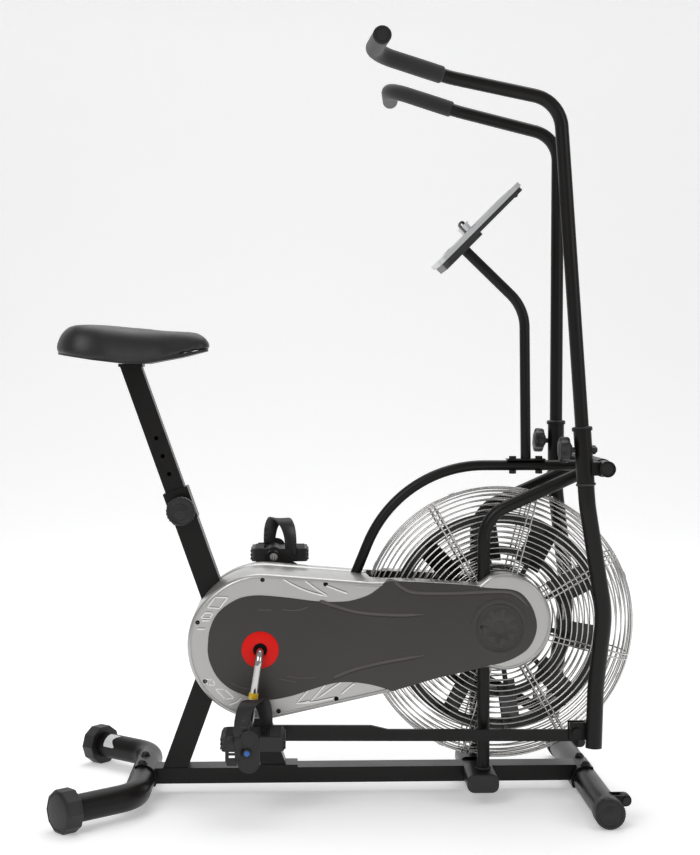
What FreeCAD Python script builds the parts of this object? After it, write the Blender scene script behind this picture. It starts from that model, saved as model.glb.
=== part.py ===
import FreeCAD, Part
import math
import os

# Air bike: an upright exercise bike whose crank drives a caged fan, with two swinging arms.
# Millimetres. X points forward to the fan, +Y is the rider's left, Z is up from the floor.

V = FreeCAD.Vector
X_AXIS = V(1, 0, 0)
Y_AXIS = V(0, 1, 0)
Z_AXIS = V(0, 0, 1)

# Driving dimensions ---------------------------------------------------------------
CRANK_X, CRANK_Z = -170.0, 295.5
CRANK_THROW = 152.4
CRANK_ANGLE = 8.5
FAN_X, FAN_Z = 288.5, 332.0
PIVOT_X, PIVOT_Z = 466.5, 638.2
LINK_PIN_X, LINK_PIN_Z = 423.1, 139.1
CAGE_RADIUS = 262.0
CAGE_HALF_WIDTH = 48.0
WHEEL_RADIUS = 212.0

RAIL_BOTTOM, RAIL_TOP, RAIL_HALF_WIDTH = 25.0, 55.0, 25.0
STABILISER_RADIUS = 25.0
REAR_STABILISER_X, REAR_STABILISER_Z = -397.5, 38.0
LEG_CORNER_Y, LEG_END_X, LEG_TURN = 157.0, -521.0, 50.0
FRONT_STABILISER_X, FRONT_STABILISER_Z = 456.5, 28.0
UPRIGHT_X, UPRIGHT_Y, UPRIGHT_RADIUS = 254.0, 65.0, 12.0
TRANSPORT_X, TRANSPORT_Z, TRANSPORT_RADIUS = 492.0, 42.0, 11.0
SEAT_LEAN = 19.5
BRACE_X, BRACE_LEAN = -335.0, 20.0
SEAT_BASE_X, SEAT_BASE_Z = -144.8, 55.0
SEAT_HOLE_PITCH = 36.4
SEAT_PIN_S = 527.7

CASE_INNER_Y, CASE_OUTER_Y, CASE_WALL = 30.0, 96.5, 2.5
PANEL_THICK = 2.5
BELT_Y0, BELT_Y1 = -93.0, -81.0
DRIVE_PULLEY_RADIUS = 110.4
FAN_PULLEY_RADIUS = 24.0
LINK_Y0, LINK_Y1 = 102.0, 111.0
CRANK_ARM_Y, CRANK_ROD_RADIUS = 121.0, 7.5
PEDAL_Y0, PEDAL_Y1 = 131.0, 221.0
PEDAL_HUB_RADIUS = 18.0
STRAP_SKEW = 26.0
LEFT_HANDLE_DROP = 24.0
ARM_RADIUS, SOCKET_RADIUS, HANDLE_RADIUS = 15.5, 16.5, 12.7
RUNNING_FIT = 0.05

CASE_LOWER = [(76.8, 217.7), (166.6, 242.5), (257.7, 262.3), (284.0, 268.0)]
CASE_UPPER = [(262.0, 413.0), (194.0, 421.5), (122.0, 427.0), (62.0, 430.0)]
PANEL_LOWER = [(-148.6, 206.4), (-113.3, 212.6), (-81.0, 222.1), (-23.2, 236.3), (2.6, 236.1),
               (31.6, 232.0)]
PANEL_UPPER = [(31.6, 400.9), (-0.6, 388.1), (-32.8, 386.7), (-65.0, 388.4), (-113.0, 395.1)]
REAR_ROUND, REAR_ROUND_RADIUS = (-167.0, 312.0), 137.0
FRONT_ROUND, FRONT_ROUND_RADIUS = (288.0, 345.0), 89.0
PANEL_REAR, PANEL_REAR_RADIUS = (-170.0, 303.5), 97.0
PANEL_NOSE, PANEL_NOSE_RADIUS = (281.0, 345.0), 70.0
CASE_SCREWS = [(-165.2, 429.2), (-47.2, 421.5), (-285.1, 350.3), (-274.2, 239.0), (-142.2, 186.0),
               (-27.4, 211.0)]
PLUG_X, PLUG_Z, PLUG_RADIUS = 280.5, 336.0, 43.0

SOCKET_BOTTOM = V(430.7, -160.3, 608.0)
HANDLE_CORNER = V(381.5, -150.0, 1312.0)
HANDLE_AXIS = (HANDLE_CORNER - SOCKET_BOTTOM).normalize()
SOCKET_TOP = SOCKET_BOTTOM + HANDLE_AXIS * 104.0
HANDLE_RADII = [62, 200, 46]

MAST_POINTS = [V(343, 0, 648.5), V(339.5, 0, 939.8), V(222.2, 0, 1053.1)]
MAST_BEND, MAST_RADIUS, MAST_WALL = 90.0, 10.0, 1.5
MAST_BOLT_X = (317.5, 368.5)
CONSOLE_LOW = V(167.5, 0, 1019.0)
CONSOLE_LENGTH, CONSOLE_WIDTH, CONSOLE_TILT = 216.0, 156.0, 45.0
CONSOLE_BUTTON_X, CONSOLE_BUTTON_Y = 40.0, (-34, 0, 34)


# Small building functions ---------------------------------------------------------
def block(x0, x1, y0, y1, z0, z1):
    return Part.makeBox(x1 - x0, y1 - y0, z1 - z0, V(x0, y0, z0))


def rod_y(x, z, radius, y0, y1):
    return Part.makeCylinder(radius, y1 - y0, V(x, y0, z), Y_AXIS)


def ring_y(x, z, inner, outer, y0, y1):
    return rod_y(x, z, outer, y0, y1).cut(rod_y(x, z, inner, y0 - 1, y1 + 1))


def rod_between(a, b, radius):
    return Part.makeCylinder(radius, (b - a).Length, a, b - a)


def mirrored(shape):
    """The same piece on the rider's other side."""
    return shape.mirror(V(0, 0, 0), Y_AXIS)


def group(*shapes):
    return Part.makeCompound([solid for shape in shapes for solid in shape.Solids])


def fused(first, *others):
    return first.fuse(list(others)).removeSplitter()


def rounded_path(points, radii):
    """Straight runs through the points, joined by tangent arcs at the inner ones."""
    edges = []
    start = points[0]
    for i in range(1, len(points) - 1):
        back = (points[i - 1] - points[i]).normalize()
        ahead = (points[i + 1] - points[i]).normalize()
        half_turn = (math.pi - back.getAngle(ahead)) / 2
        reach = radii[i - 1] * math.tan(half_turn)
        entry = points[i] + back * reach
        leave = points[i] + ahead * reach
        bisector = (back + ahead).normalize()
        centre = points[i] + bisector * (radii[i - 1] / math.cos(half_turn))
        middle = centre - bisector * radii[i - 1]
        edges.append(Part.LineSegment(start, entry).toShape())
        edges.append(Part.Arc(entry, middle, leave).toShape())
        start = leave
    edges.append(Part.LineSegment(start, points[-1]).toShape())
    return Part.Wire(edges)


def tube(points, radii, radius, wall=0.0):
    """A round tube along a rounded path, hollow when a wall is given."""
    path = rounded_path(points, radii)
    direction = points[1] - points[0]
    outer = Part.Wire(Part.makeCircle(radius, points[0], direction))
    body = path.makePipe(Part.Face(outer))
    if wall:
        inner = Part.Wire(Part.makeCircle(radius - wall, points[0], direction))
        body = body.cut(path.makePipe(Part.Face(inner)))
    return body


def prism_y(wire, y0, y1):
    """An outline drawn in the plane y = 0, carried from y0 to y1."""
    face = Part.Face(wire)
    face.translate(V(0, y0, 0))
    return face.extrude(V(0, y1 - y0, 0))


def line_xz(a, b):
    return Part.LineSegment(V(a[0], 0, a[1]), V(b[0], 0, b[1])).toShape()


def outline_xz(points):
    return Part.makePolygon([V(x, 0, z) for x, z in points + points[:1]])


def round_xz(centre, radius, degrees):
    angle = math.radians(degrees)
    return (centre[0] + radius * math.cos(angle), centre[1] + radius * math.sin(angle))


def arc_xz(centre, radius, start, end):
    """An arc about a centre, from one angle to another, in degrees from +X towards +Z."""
    ends = [round_xz(centre, radius, d) for d in (start, (start + end) / 2, end)]
    return Part.Arc(*[V(x, 0, z) for x, z in ends]).toShape()


def square_bar(size, s0, s1):
    """A square bar centred on the leaning seat axis, from one distance along it to another."""
    bar = Part.makeBox(size, size, s1 - s0, V(-size / 2, -size / 2, s0))
    bar.rotate(V(0, 0, 0), Y_AXIS, -SEAT_LEAN)
    bar.translate(V(SEAT_BASE_X, 0, SEAT_BASE_Z))
    return bar


def seat_point(s):
    lean = math.radians(SEAT_LEAN)
    return V(SEAT_BASE_X - s * math.sin(lean), 0, SEAT_BASE_Z + s * math.cos(lean))


# Base frame -----------------------------------------------------------------------
def rail_and_saddles():
    rail = block(-374, 440, -RAIL_HALF_WIDTH, RAIL_HALF_WIDTH, RAIL_BOTTOM, RAIL_TOP)
    rail = rail.cut(block(-380, 450, -RAIL_HALF_WIDTH + 2, RAIL_HALF_WIDTH - 2,
                          RAIL_BOTTOM + 2, RAIL_TOP - 2))
    pieces = []
    for x, z, keep_side in ((REAR_STABILISER_X, REAR_STABILISER_Z, 1),
                            (FRONT_STABILISER_X, FRONT_STABILISER_Z, -1)):
        saddle = ring_y(x, z, STABILISER_RADIUS, STABILISER_RADIUS + 4, -42, 42)
        near, far = sorted((x - 14 * keep_side, x + 40 * keep_side))
        saddle = saddle.common(block(near, far, -60, 60, z - 14, z + 40))
        pieces.append(saddle)
    rail = fused(rail, *pieces)
    for x, z in ((REAR_STABILISER_X, REAR_STABILISER_Z), (FRONT_STABILISER_X, FRONT_STABILISER_Z)):
        rail = rail.cut(rod_y(x, z, STABILISER_RADIUS, -80, 80))
    return rail


def leg_end():
    """Middle of the left leg's open end, behind the bend."""
    sideways = (REAR_STABILISER_X - LEG_END_X) / math.tan(math.radians(LEG_TURN))
    return V(LEG_END_X, LEG_CORNER_Y + sideways, REAR_STABILISER_Z)


def rear_stabiliser():
    corner = V(REAR_STABILISER_X, LEG_CORNER_Y, REAR_STABILISER_Z)
    end = leg_end()
    points = [V(end.x, -end.y, end.z), V(corner.x, -corner.y, corner.z), corner, end]
    return tube(points, [75, 75], STABILISER_RADIUS, 2)


def rear_cap():
    """A ten-sided end cap, one flat down on the floor, over the end of the bent stabiliser."""
    apothem, sides, length, depth = 38.0, 10, 34.0, 26.0
    corner = apothem / math.cos(math.pi / sides)
    turn = [math.pi / sides + 2 * math.pi * i / sides for i in range(sides)]
    points = [V(0, corner * math.sin(t), corner * math.cos(t)) for t in turn]
    body = Part.Face(Part.makePolygon(points + points[:1])).extrude(V(length, 0, 0))
    outer_edges = [e for e in body.Edges if abs(e.CenterOfMass.x - length) < 0.1]
    body = body.makeChamfer(5, outer_edges)
    body = body.cut(Part.makeCylinder(STABILISER_RADIUS, depth, V(0, 0, 0), X_AXIS))
    body.rotate(V(0, 0, 0), Z_AXIS, 90 + LEG_TURN)
    along = V(-math.sin(math.radians(LEG_TURN)), math.cos(math.radians(LEG_TURN)), 0)
    body.translate(leg_end() - along * depth)
    return body


def front_stabiliser():
    bar = rod_y(FRONT_STABILISER_X, FRONT_STABILISER_Z, STABILISER_RADIUS, -268, 268)
    bar = bar.cut(rod_y(FRONT_STABILISER_X, FRONT_STABILISER_Z, STABILISER_RADIUS - 2, -270, 270))
    ears = []
    for y in (-238, -214, 211, 235):
        ear = block(FRONT_STABILISER_X + 8, TRANSPORT_X, y, y + 3, TRANSPORT_Z - 10, TRANSPORT_Z + 10)
        ear = fused(ear, rod_y(TRANSPORT_X, TRANSPORT_Z, 10, y, y + 3))
        ear = ear.cut(rod_y(FRONT_STABILISER_X, FRONT_STABILISER_Z, STABILISER_RADIUS - 1, -270, 270))
        ears.append(ear.cut(rod_y(TRANSPORT_X, TRANSPORT_Z, 4, -270, 270)))
    return fused(bar, *ears)


def transport_wheel():
    wheel = ring_y(TRANSPORT_X, TRANSPORT_Z, 4 + RUNNING_FIT, TRANSPORT_RADIUS, 216, 233)
    return wheel


def wheel_axles():
    axle = rod_y(TRANSPORT_X, TRANSPORT_Z, 4, 206, 242)
    axle = fused(axle, rod_y(TRANSPORT_X, TRANSPORT_Z, 7, 205, 211),
                 rod_y(TRANSPORT_X, TRANSPORT_Z, 7, 238, 241.5))
    return group(axle, mirrored(axle))


def front_cap():
    cap = rod_y(FRONT_STABILISER_X, FRONT_STABILISER_Z, 28, 243, 277)
    rim = [e for e in cap.Edges if abs(e.CenterOfMass.y - 277) < 0.1]
    cap = cap.makeFillet(3, rim)
    return cap.cut(rod_y(FRONT_STABILISER_X, FRONT_STABILISER_Z, STABILISER_RADIUS, 240, 268))


def foot_bar_profile(width, height, corner):
    body = block(248.5 - width / 2, 248.5 + width / 2, 0, 1, 42.5 - height / 2, 42.5 + height / 2)
    long_edges = [e for e in body.Edges if abs(e.CenterOfMass.y - 0.5) < 0.01]
    return body.makeFillet(corner, long_edges)


def foot_bar():
    outer = foot_bar_profile(60, 35, 14)
    inner = foot_bar_profile(56, 31, 12)
    stub = outer.cut(inner)
    face = [f for f in stub.Faces if abs(f.CenterOfMass.y) < 0.01][0]
    face.translate(V(0, RAIL_HALF_WIDTH, 0))
    stub = face.extrude(V(0, 108 - RAIL_HALF_WIDTH, 0))
    return group(stub, mirrored(stub))


def foot_bar_cap():
    face = [f for f in foot_bar_profile(60, 35, 14).Faces if abs(f.CenterOfMass.y) < 0.01][0]
    face.translate(V(0, 108, 0))
    cap = face.extrude(V(0, 8, 0))
    rim = [e for e in cap.Edges if abs(e.CenterOfMass.y - 116) < 0.1]
    return cap.makeFillet(3, rim)


def uprights():
    """Two bent tubes up to the pivot tube, each with a plate that carries the fan bearing."""
    corner_z = PIVOT_Z - (PIVOT_X - UPRIGHT_X) * math.tan(math.radians(24.6))
    points = [V(UPRIGHT_X, UPRIGHT_Y, 60), V(UPRIGHT_X, UPRIGHT_Y, corner_z),
              V(PIVOT_X, UPRIGHT_Y, PIVOT_Z - 2)]
    post = tube(points, [69], UPRIGHT_RADIUS, 1.8)
    post = post.cut(rod_y(PIVOT_X, PIVOT_Z, 17, 0, 140))
    plate = fused(block(256, FAN_X, 60, 70, FAN_Z - 22, FAN_Z + 22), rod_y(FAN_X, FAN_Z, 22, 52.5, 70))
    plate = plate.cut(rod_y(FAN_X, FAN_Z, 14, 50, 75))
    plate = plate.cut(Part.makeCylinder(UPRIGHT_RADIUS - 1, 200, V(UPRIGHT_X, UPRIGHT_Y, 250), Z_AXIS))
    post = fused(post, plate)
    return group(post, mirrored(post))


def arc_tube():
    points = [V(PIVOT_X, 0, 635.5), V(97.8, 0, 635.5), V(-18.7, 0, 350), V(-247, 0, 350)]
    bar = tube(points, [244, 40], 10, 1.5)
    bar = bar.cut(rod_y(PIVOT_X, PIVOT_Z, 17, -30, 30))
    bar = bar.cut(square_bar(45, 100, 500))
    for x in MAST_BOLT_X:
        bar = bar.cut(Part.makeCylinder(3.5, 40, V(x, 0, 615), Z_AXIS))
    return bar




def seat_tube():
    bar = square_bar(45, -30, 556).cut(square_bar(41, -40, 560))
    bar = bar.cut(block(-300, 100, -60, 60, 0, RAIL_TOP))
    pin_hole = seat_point(SEAT_PIN_S)
    bar = bar.cut(rod_y(pin_hole.x, pin_hole.z, 9, -60, -10))
    foot = block(-190, -100, -25, 25, RAIL_TOP, RAIL_TOP + 5)
    bar = fused(bar, foot.cut(square_bar(41, -40, 200)))
    bracket = block(CRANK_X - 60, CRANK_X, -22, 22, CRANK_Z - 18, CRANK_Z + 18)
    bracket = bracket.cut(square_bar(44, 0, 500))
    bracket = bracket.cut(square_bar(60, 0, 500).cut(square_bar(44, 0, 500)).common(
        block(-320, SEAT_BASE_X - 80, -40, 40, 0, 500)))
    shell = rod_y(CRANK_X, CRANK_Z, 22, -42, 42)
    bar = fused(bar, bracket, shell)
    return bar.cut(rod_y(CRANK_X, CRANK_Z, 17, -50, 50))


def rear_brace():
    def bar(size):
        body = Part.makeBox(size, size, 420, V(-size / 2, -size / 2, -40))
        body.rotate(V(0, 0, 0), Y_AXIS, BRACE_LEAN)
        body.translate(V(BRACE_X, 0, RAIL_TOP))
        return body
    brace = bar(45).cut(bar(41)).cut(block(-500, 0, -40, 40, 0, RAIL_TOP))
    ahead_of_tube = square_bar(600, 0, 700)
    ahead_of_tube.translate(V(300 - 22.5, 0, 0))
    pieces = brace.cut(square_bar(45, 0, 556)).cut(ahead_of_tube).Solids
    return max(pieces, key=lambda solid: solid.Volume)


def seat_sleeve():
    collar = square_bar(49, 505, 567.6).cut(square_bar(45, 500, 556)).cut(square_bar(38.4, 490, 570))
    lining = square_bar(41, 516, 556).cut(square_bar(38.4, 500, 570))
    sleeve = fused(collar, lining)
    pin = seat_point(SEAT_PIN_S)
    sleeve = sleeve.cut(rod_y(pin.x, pin.z, 9, -60, -10))
    housing = ring_y(pin.x, pin.z, 5.3, 8.9, -34, -19.4)
    return group(sleeve.cut(block(-600, 0, 0, 60, 0, 300)), housing.cut(square_bar(38.4, 490, 570)))


def seat_post():
    post = square_bar(38, 350, 860).cut(square_bar(34, 340, 870))
    post = post.cut(block(-500, -300, -40, 40, 826, 1000))
    for k in range(8):
        at = seat_point(SEAT_PIN_S + SEAT_HOLE_PITCH * (4 - k))
        post = post.cut(rod_y(at.x, at.z, 4.2, -40, 0))
    return post


def saddle_outline(grow):
    """Plan of the saddle: a broad round rear that narrows to a blunt nose."""
    points = [(-554.5, 0), (-551, -62), (-520, -104), (-470, -110), (-415, -84), (-360, -50),
              (-300, -36), (-272, -24), (-266.5, 0)]
    points += [(x, -y) for x, y in points[-2:0:-1]]
    curve = Part.BSplineCurve()
    curve.interpolate([V(-415 + (x + 415) * grow, y * grow, 0) for x, y in points], PeriodicFlag=True)
    return Part.Face(Part.Wire(curve.toShape()))


def saddle_parts():
    top = [(-556, 868), (-549, 893), (-516, 905), (-400, 898), (-310, 895), (-286, 893), (-264, 876)]
    split = [(-264, 862), (-320, 851), (-400, 845), (-480, 849), (-556, 858)]
    base = [(-556, 850), (-480, 838), (-430, 832), (-385, 832), (-320, 844), (-264, 858)]
    pad = saddle_outline(1.0)
    pad.translate(V(0, 0, 820))
    pad = pad.extrude(V(0, 0, 100)).common(prism_y(outline_xz(top + split), -150, 150))
    shell = saddle_outline(0.97)
    shell.translate(V(0, 0, 820))
    shell = shell.extrude(V(0, 0, 100)).common(prism_y(outline_xz(split[::-1] + base[::-1]), -150, 150))
    top_plate = seat_point((826 - SEAT_BASE_Z) / math.cos(math.radians(SEAT_LEAN)))
    clamp = block(top_plate.x - 23, top_plate.x + 23, -24, 24, 826, 832)
    return pad, shell, clamp


def seat_pin():
    """The pull knob and the pin behind it, which is sprung towards the post."""
    at = seat_point(SEAT_PIN_S)
    knob = rod_y(at.x, at.z, 27.5, -62, -44)
    rims = [e for e in knob.Edges if e.Length > 100]
    knob = knob.makeFillet(4, rims)
    neck = rod_y(at.x, at.z, 11, -44, -35)
    pin = rod_y(at.x, at.z, 4, -44, -19.4)
    return fused(knob, neck, pin)


# Drive ----------------------------------------------------------------------------
def crank_pin(side):
    """Pedal pin at rest: the right one low, the left one opposite it."""
    angle = math.radians(CRANK_ANGLE)
    sign = 1 if side == "right" else -1
    reach = sign * CRANK_THROW
    return V(CRANK_X - reach * math.sin(angle), 0, CRANK_Z - reach * math.cos(angle))


def crank():
    right = crank_pin("right")
    left = crank_pin("left")
    points = [V(right.x, -CRANK_ARM_Y, right.z), V(CRANK_X, -CRANK_ARM_Y, CRANK_Z),
              V(CRANK_X, CRANK_ARM_Y, CRANK_Z), V(left.x, CRANK_ARM_Y, left.z)]
    bar = tube(points, [25, 25], CRANK_ROD_RADIUS)
    spindle = rod_y(CRANK_X, CRANK_Z, 10, -94.5, 60)
    bosses = [rod_y(right.x, right.z, 13, -CRANK_ARM_Y - 7, -CRANK_ARM_Y + 7),
              rod_y(left.x, left.z, 13, CRANK_ARM_Y - 7, CRANK_ARM_Y + 7)]
    pins = [rod_y(right.x, right.z, 7, -PEDAL_Y1 + 4, -CRANK_ARM_Y - 7),
            rod_y(left.x, left.z, 7, CRANK_ARM_Y + 7, PEDAL_Y1 - 4)]
    return fused(bar, spindle, *(bosses + pins))


def pulley(x, z, radius, bore, windows):
    disc = ring_y(x, z, bore, radius, BELT_Y0, BELT_Y1)
    if windows:
        web = ring_y(x, z, 26, radius - 12, BELT_Y0 - 1, BELT_Y0 + 4)
        web = fused(web, ring_y(x, z, 26, radius - 12, BELT_Y1 - 4, BELT_Y1 + 1))
        disc = disc.cut(web)
        for i in range(windows):
            at = round_xz((x, z), radius * 0.58, 360 * i / windows)
            disc = disc.cut(rod_y(at[0], at[1], 18, BELT_Y0 - 1, BELT_Y1 + 1))
    return disc


def belt():
    """A flat belt over both pulleys: two arcs and the two straight runs tangent to them."""
    def loop(extra):
        big, small = DRIVE_PULLEY_RADIUS + extra, FAN_PULLEY_RADIUS + extra
        span = math.hypot(FAN_X - CRANK_X, FAN_Z - CRANK_Z)
        slope = math.degrees(math.atan2(FAN_Z - CRANK_Z, FAN_X - CRANK_X))
        spread = math.degrees(math.acos((big - small) / span))
        up, down = slope + spread, slope - spread
        c, f = (CRANK_X, CRANK_Z), (FAN_X, FAN_Z)
        edges = [arc_xz(c, big, up, down + 360), line_xz(round_xz(c, big, down), round_xz(f, small, down)),
                 arc_xz(f, small, down, up), line_xz(round_xz(f, small, up), round_xz(c, big, up))]
        return prism_y(Part.Wire(edges), BELT_Y0 + 0.5, BELT_Y1 - 0.5)
    return loop(2.8).cut(loop(0.4))


def bearing(x, z, inner, outer, y0, y1):
    ring = ring_y(x, z, inner, outer, y0, y1)
    return group(ring, mirrored(ring))


def fan_wheel():
    """Two flat rings joined by radial paddles on a hub with round-bar spokes."""
    hub = ring_y(FAN_X, FAN_Z, 8, 22, -20, 20)
    rings = [ring_y(FAN_X, FAN_Z, 191, WHEEL_RADIUS, -2, 2), ring_y(FAN_X, FAN_Z, 132, 147, -2, 2)]
    blades = []
    for i in range(10):
        blade = block(FAN_X + 120, FAN_X + 205, -34, 34, FAN_Z - 1.5, FAN_Z + 1.5)
        blade.rotate(V(FAN_X + 160, 0, FAN_Z), X_AXIS, 35)
        spoke = Part.makeCylinder(5, 120, V(FAN_X + 16, 0, FAN_Z), X_AXIS)
        blade = blade.fuse(spoke)
        blade.rotate(V(FAN_X, 0, FAN_Z), Y_AXIS, 36 * i + 10)
        blades.append(blade)
    return fused(hub, *(rings + blades))


def cage_half():
    """Wires on a flat face that rolls over to the rim, held by double radial wires.

    The wires have six-sided sections, which keeps the mesh of this many rings small."""
    wire, spoke_wire = 1.8, 2.1
    shoulder = 40.0
    flat_radius = CAGE_RADIUS - shoulder

    def ring_place(reach):
        """Radius and width of the ring at a distance along the face and round the shoulder."""
        if reach < flat_radius:
            return reach, CAGE_HALF_WIDTH
        angle = min((reach - flat_radius) / shoulder, math.pi / 2)
        return flat_radius + shoulder * math.sin(angle), CAGE_HALF_WIDTH - shoulder * (1 - math.cos(angle))

    def six_sided(centre, across, along, radius):
        corners = []
        for i in range(6):
            angle = math.radians(60 * i)
            corners.append(centre + across * (radius * math.cos(angle)) + along * (radius * math.sin(angle)))
        return Part.Face(Part.makePolygon(corners + corners[:1]))

    def wire_ring(radius, y):
        section = six_sided(V(FAN_X + radius, y, FAN_Z), X_AXIS, Y_AXIS, wire)
        return section.revolve(V(FAN_X, y, FAN_Z), Y_AXIS, 360)

    hub = ring_y(FAN_X, FAN_Z, 26, 62, 49.5, 52.5).fuse(ring_y(FAN_X, FAN_Z, 54, 62, 47, 50))
    pieces = []
    reach = 74.0
    while reach < flat_radius + shoulder * math.pi / 2 + 6:
        radius, y = ring_place(reach)
        if reach > flat_radius + shoulder * math.pi / 2:
            y = 3.0
        pieces.append(wire_ring(radius, y))
        reach += 10.6
    rim_y = CAGE_HALF_WIDTH - shoulder
    spokes = []
    for i in range(8):
        for shift in (-5.0, 5.0):
            path = rounded_path([V(FAN_X + 57, CAGE_HALF_WIDTH + 1, FAN_Z + shift),
                                 V(FAN_X + CAGE_RADIUS, CAGE_HALF_WIDTH + 1, FAN_Z + shift),
                                 V(FAN_X + CAGE_RADIUS, rim_y - 4, FAN_Z + shift)], [shoulder])
            section = six_sided(path.Vertexes[0].Point, Y_AXIS, Z_AXIS, spoke_wire)
            spoke = path.makePipe(section)
            spoke.rotate(V(FAN_X, 0, FAN_Z), Y_AXIS, 45 * i + 15)
            spokes.append(spoke)
    return group(hub, *(pieces + spokes))


# Casing ---------------------------------------------------------------------------


def case_outline():
    """Side view of a cover: a large round rear, a tapering middle and a round nose that stands proud."""
    lower = [round_xz(REAR_ROUND, REAR_ROUND_RADIUS, 283)] + CASE_LOWER
    lower.append(round_xz(FRONT_ROUND, FRONT_ROUND_RADIUS, -92))
    upper = [round_xz(FRONT_ROUND, FRONT_ROUND_RADIUS, 107)] + CASE_UPPER
    upper.append(round_xz(REAR_ROUND, REAR_ROUND_RADIUS, 86))
    edges = [arc_xz(REAR_ROUND, REAR_ROUND_RADIUS, 86, 283)]
    edges += [line_xz(a, b) for a, b in zip(lower, lower[1:])]
    edges.append(arc_xz(FRONT_ROUND, FRONT_ROUND_RADIUS, -92, 107))
    edges += [line_xz(a, b) for a, b in zip(upper, upper[1:])]
    return Part.Wire(edges)


def panel_outline():
    """The dark middle of a cover, which reaches the cover's edge between the rear rim and the nose."""
    lower = [round_xz(PANEL_REAR, PANEL_REAR_RADIUS, 270)] + PANEL_LOWER + CASE_LOWER
    lower.append(round_xz(PANEL_NOSE, PANEL_NOSE_RADIUS, -70))
    upper = [round_xz(PANEL_NOSE, PANEL_NOSE_RADIUS, 75)] + CASE_UPPER + PANEL_UPPER
    upper.append(round_xz(PANEL_REAR, PANEL_REAR_RADIUS, 95))
    edges = [arc_xz(PANEL_REAR, PANEL_REAR_RADIUS, 95, 270)]
    edges += [line_xz(a, b) for a, b in zip(lower, lower[1:])]
    edges.append(arc_xz(PANEL_NOSE, PANEL_NOSE_RADIUS, -70, 75))
    edges += [line_xz(a, b) for a, b in zip(upper, upper[1:])]
    return Part.Wire(edges)


def case_shell():
    outline = case_outline()
    shell = prism_y(outline, CASE_INNER_Y, CASE_OUTER_Y)
    inside = outline.makeOffset2D(-CASE_WALL)
    shell = shell.cut(prism_y(inside, CASE_INNER_Y - 1, CASE_OUTER_Y - CASE_WALL))
    shell = shell.cut(rod_y(FAN_X, FAN_Z, CAGE_RADIUS + 5, 0, 54))
    notch = block(UPRIGHT_X - 14, UPRIGHT_X + 14, 0, UPRIGHT_Y + 14, 100, 600)
    shell = shell.cut(notch)
    shell = shell.cut(block(-20, 30, 0, 31, 350, 600))
    return shell.cut(rod_y(CRANK_X, CRANK_Z, 30, 80, 110))


def case_panel():
    panel = prism_y(panel_outline(), CASE_OUTER_Y, CASE_OUTER_Y + PANEL_THICK)
    return panel.cut(rod_y(CRANK_X, CRANK_Z, 30, 80, 110))


def case_screws():
    screws = [ring_y(x, z, 2, 5, CASE_OUTER_Y, CASE_OUTER_Y + 2) for x, z in CASE_SCREWS]
    return group(*(screws + [mirrored(s) for s in screws]))


def hub_rings():
    ring = ring_y(CRANK_X, CRANK_Z, 12, 35, CASE_OUTER_Y + PANEL_THICK, CASE_OUTER_Y + PANEL_THICK + 1.5)
    neck = ring_y(CRANK_X, CRANK_Z, 12, 29.5, CASE_OUTER_Y - 2, CASE_OUTER_Y + PANEL_THICK + 1)
    ring = fused(ring, neck)
    return group(ring, mirrored(ring))


def plug_covers():
    face_y = CASE_OUTER_Y + PANEL_THICK
    plug = rod_y(PLUG_X, PLUG_Z, PLUG_RADIUS, face_y, face_y + 1.5)
    return group(plug, mirrored(plug))


# Arms -----------------------------------------------------------------------------


def arm():
    """Right arm at rest: socket, bent tube, pivot sleeve and the fork that takes the link."""
    lower = [SOCKET_BOTTOM + HANDLE_AXIS * 4, V(433.5, -160.6, 570), V(469.5, -142.3, 366),
             V(456.5, -130, 225), V(453.5, -130, 117.5)]
    tube_outer = tube(lower, [150, 220, 220], ARM_RADIUS)
    tube_inner = tube(lower, [150, 220, 220], ARM_RADIUS - 2)
    socket = rod_between(SOCKET_BOTTOM, SOCKET_TOP, SOCKET_RADIUS)
    flange = rod_between(SOCKET_TOP - HANDLE_AXIS * 4, SOCKET_TOP, SOCKET_RADIUS + 2.5)
    sleeve = rod_y(PIVOT_X, PIVOT_Z, 15, -185, -140)
    bracket = block(430, 460, -172, -150, PIVOT_Z - 12.5, PIVOT_Z + 12.5)
    fork = block(410, 454, -118, -96, 125, 158)
    fork = fork.cut(block(405, 440, -112.6, -100.4, 120, 160))
    body = fused(tube_outer, socket, flange, sleeve, bracket, fork)
    body = body.cut(tube_inner)
    bore_end = SOCKET_TOP + HANDLE_AXIS
    body = body.cut(rod_between(SOCKET_BOTTOM + HANDLE_AXIS * 8, bore_end, HANDLE_RADIUS + 0.06))
    body = body.cut(rod_y(PIVOT_X, PIVOT_Z, 8 + RUNNING_FIT, -186, -139))
    body = body.cut(rod_y(PIVOT_X, PIVOT_Z, 11.5, -186, -178))
    body = body.cut(rod_y(LINK_PIN_X, LINK_PIN_Z, 5, -120, -95))
    knob_at = SOCKET_BOTTOM + HANDLE_AXIS * 65
    body = body.cut(rod_between(knob_at - X_AXIS * 40, knob_at, 5 + RUNNING_FIT))
    fork_bolt = fused(rod_y(LINK_PIN_X, LINK_PIN_Z, 5, -120, -94),
                      rod_y(LINK_PIN_X, LINK_PIN_Z, 9, -124, -118),
                      rod_y(LINK_PIN_X, LINK_PIN_Z, 9, -96, -90))
    plug = rod_between(V(453.5, -130, 117.5), V(453.4, -130, 113.5), ARM_RADIUS)
    return group(body, fork_bolt, plug)


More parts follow.
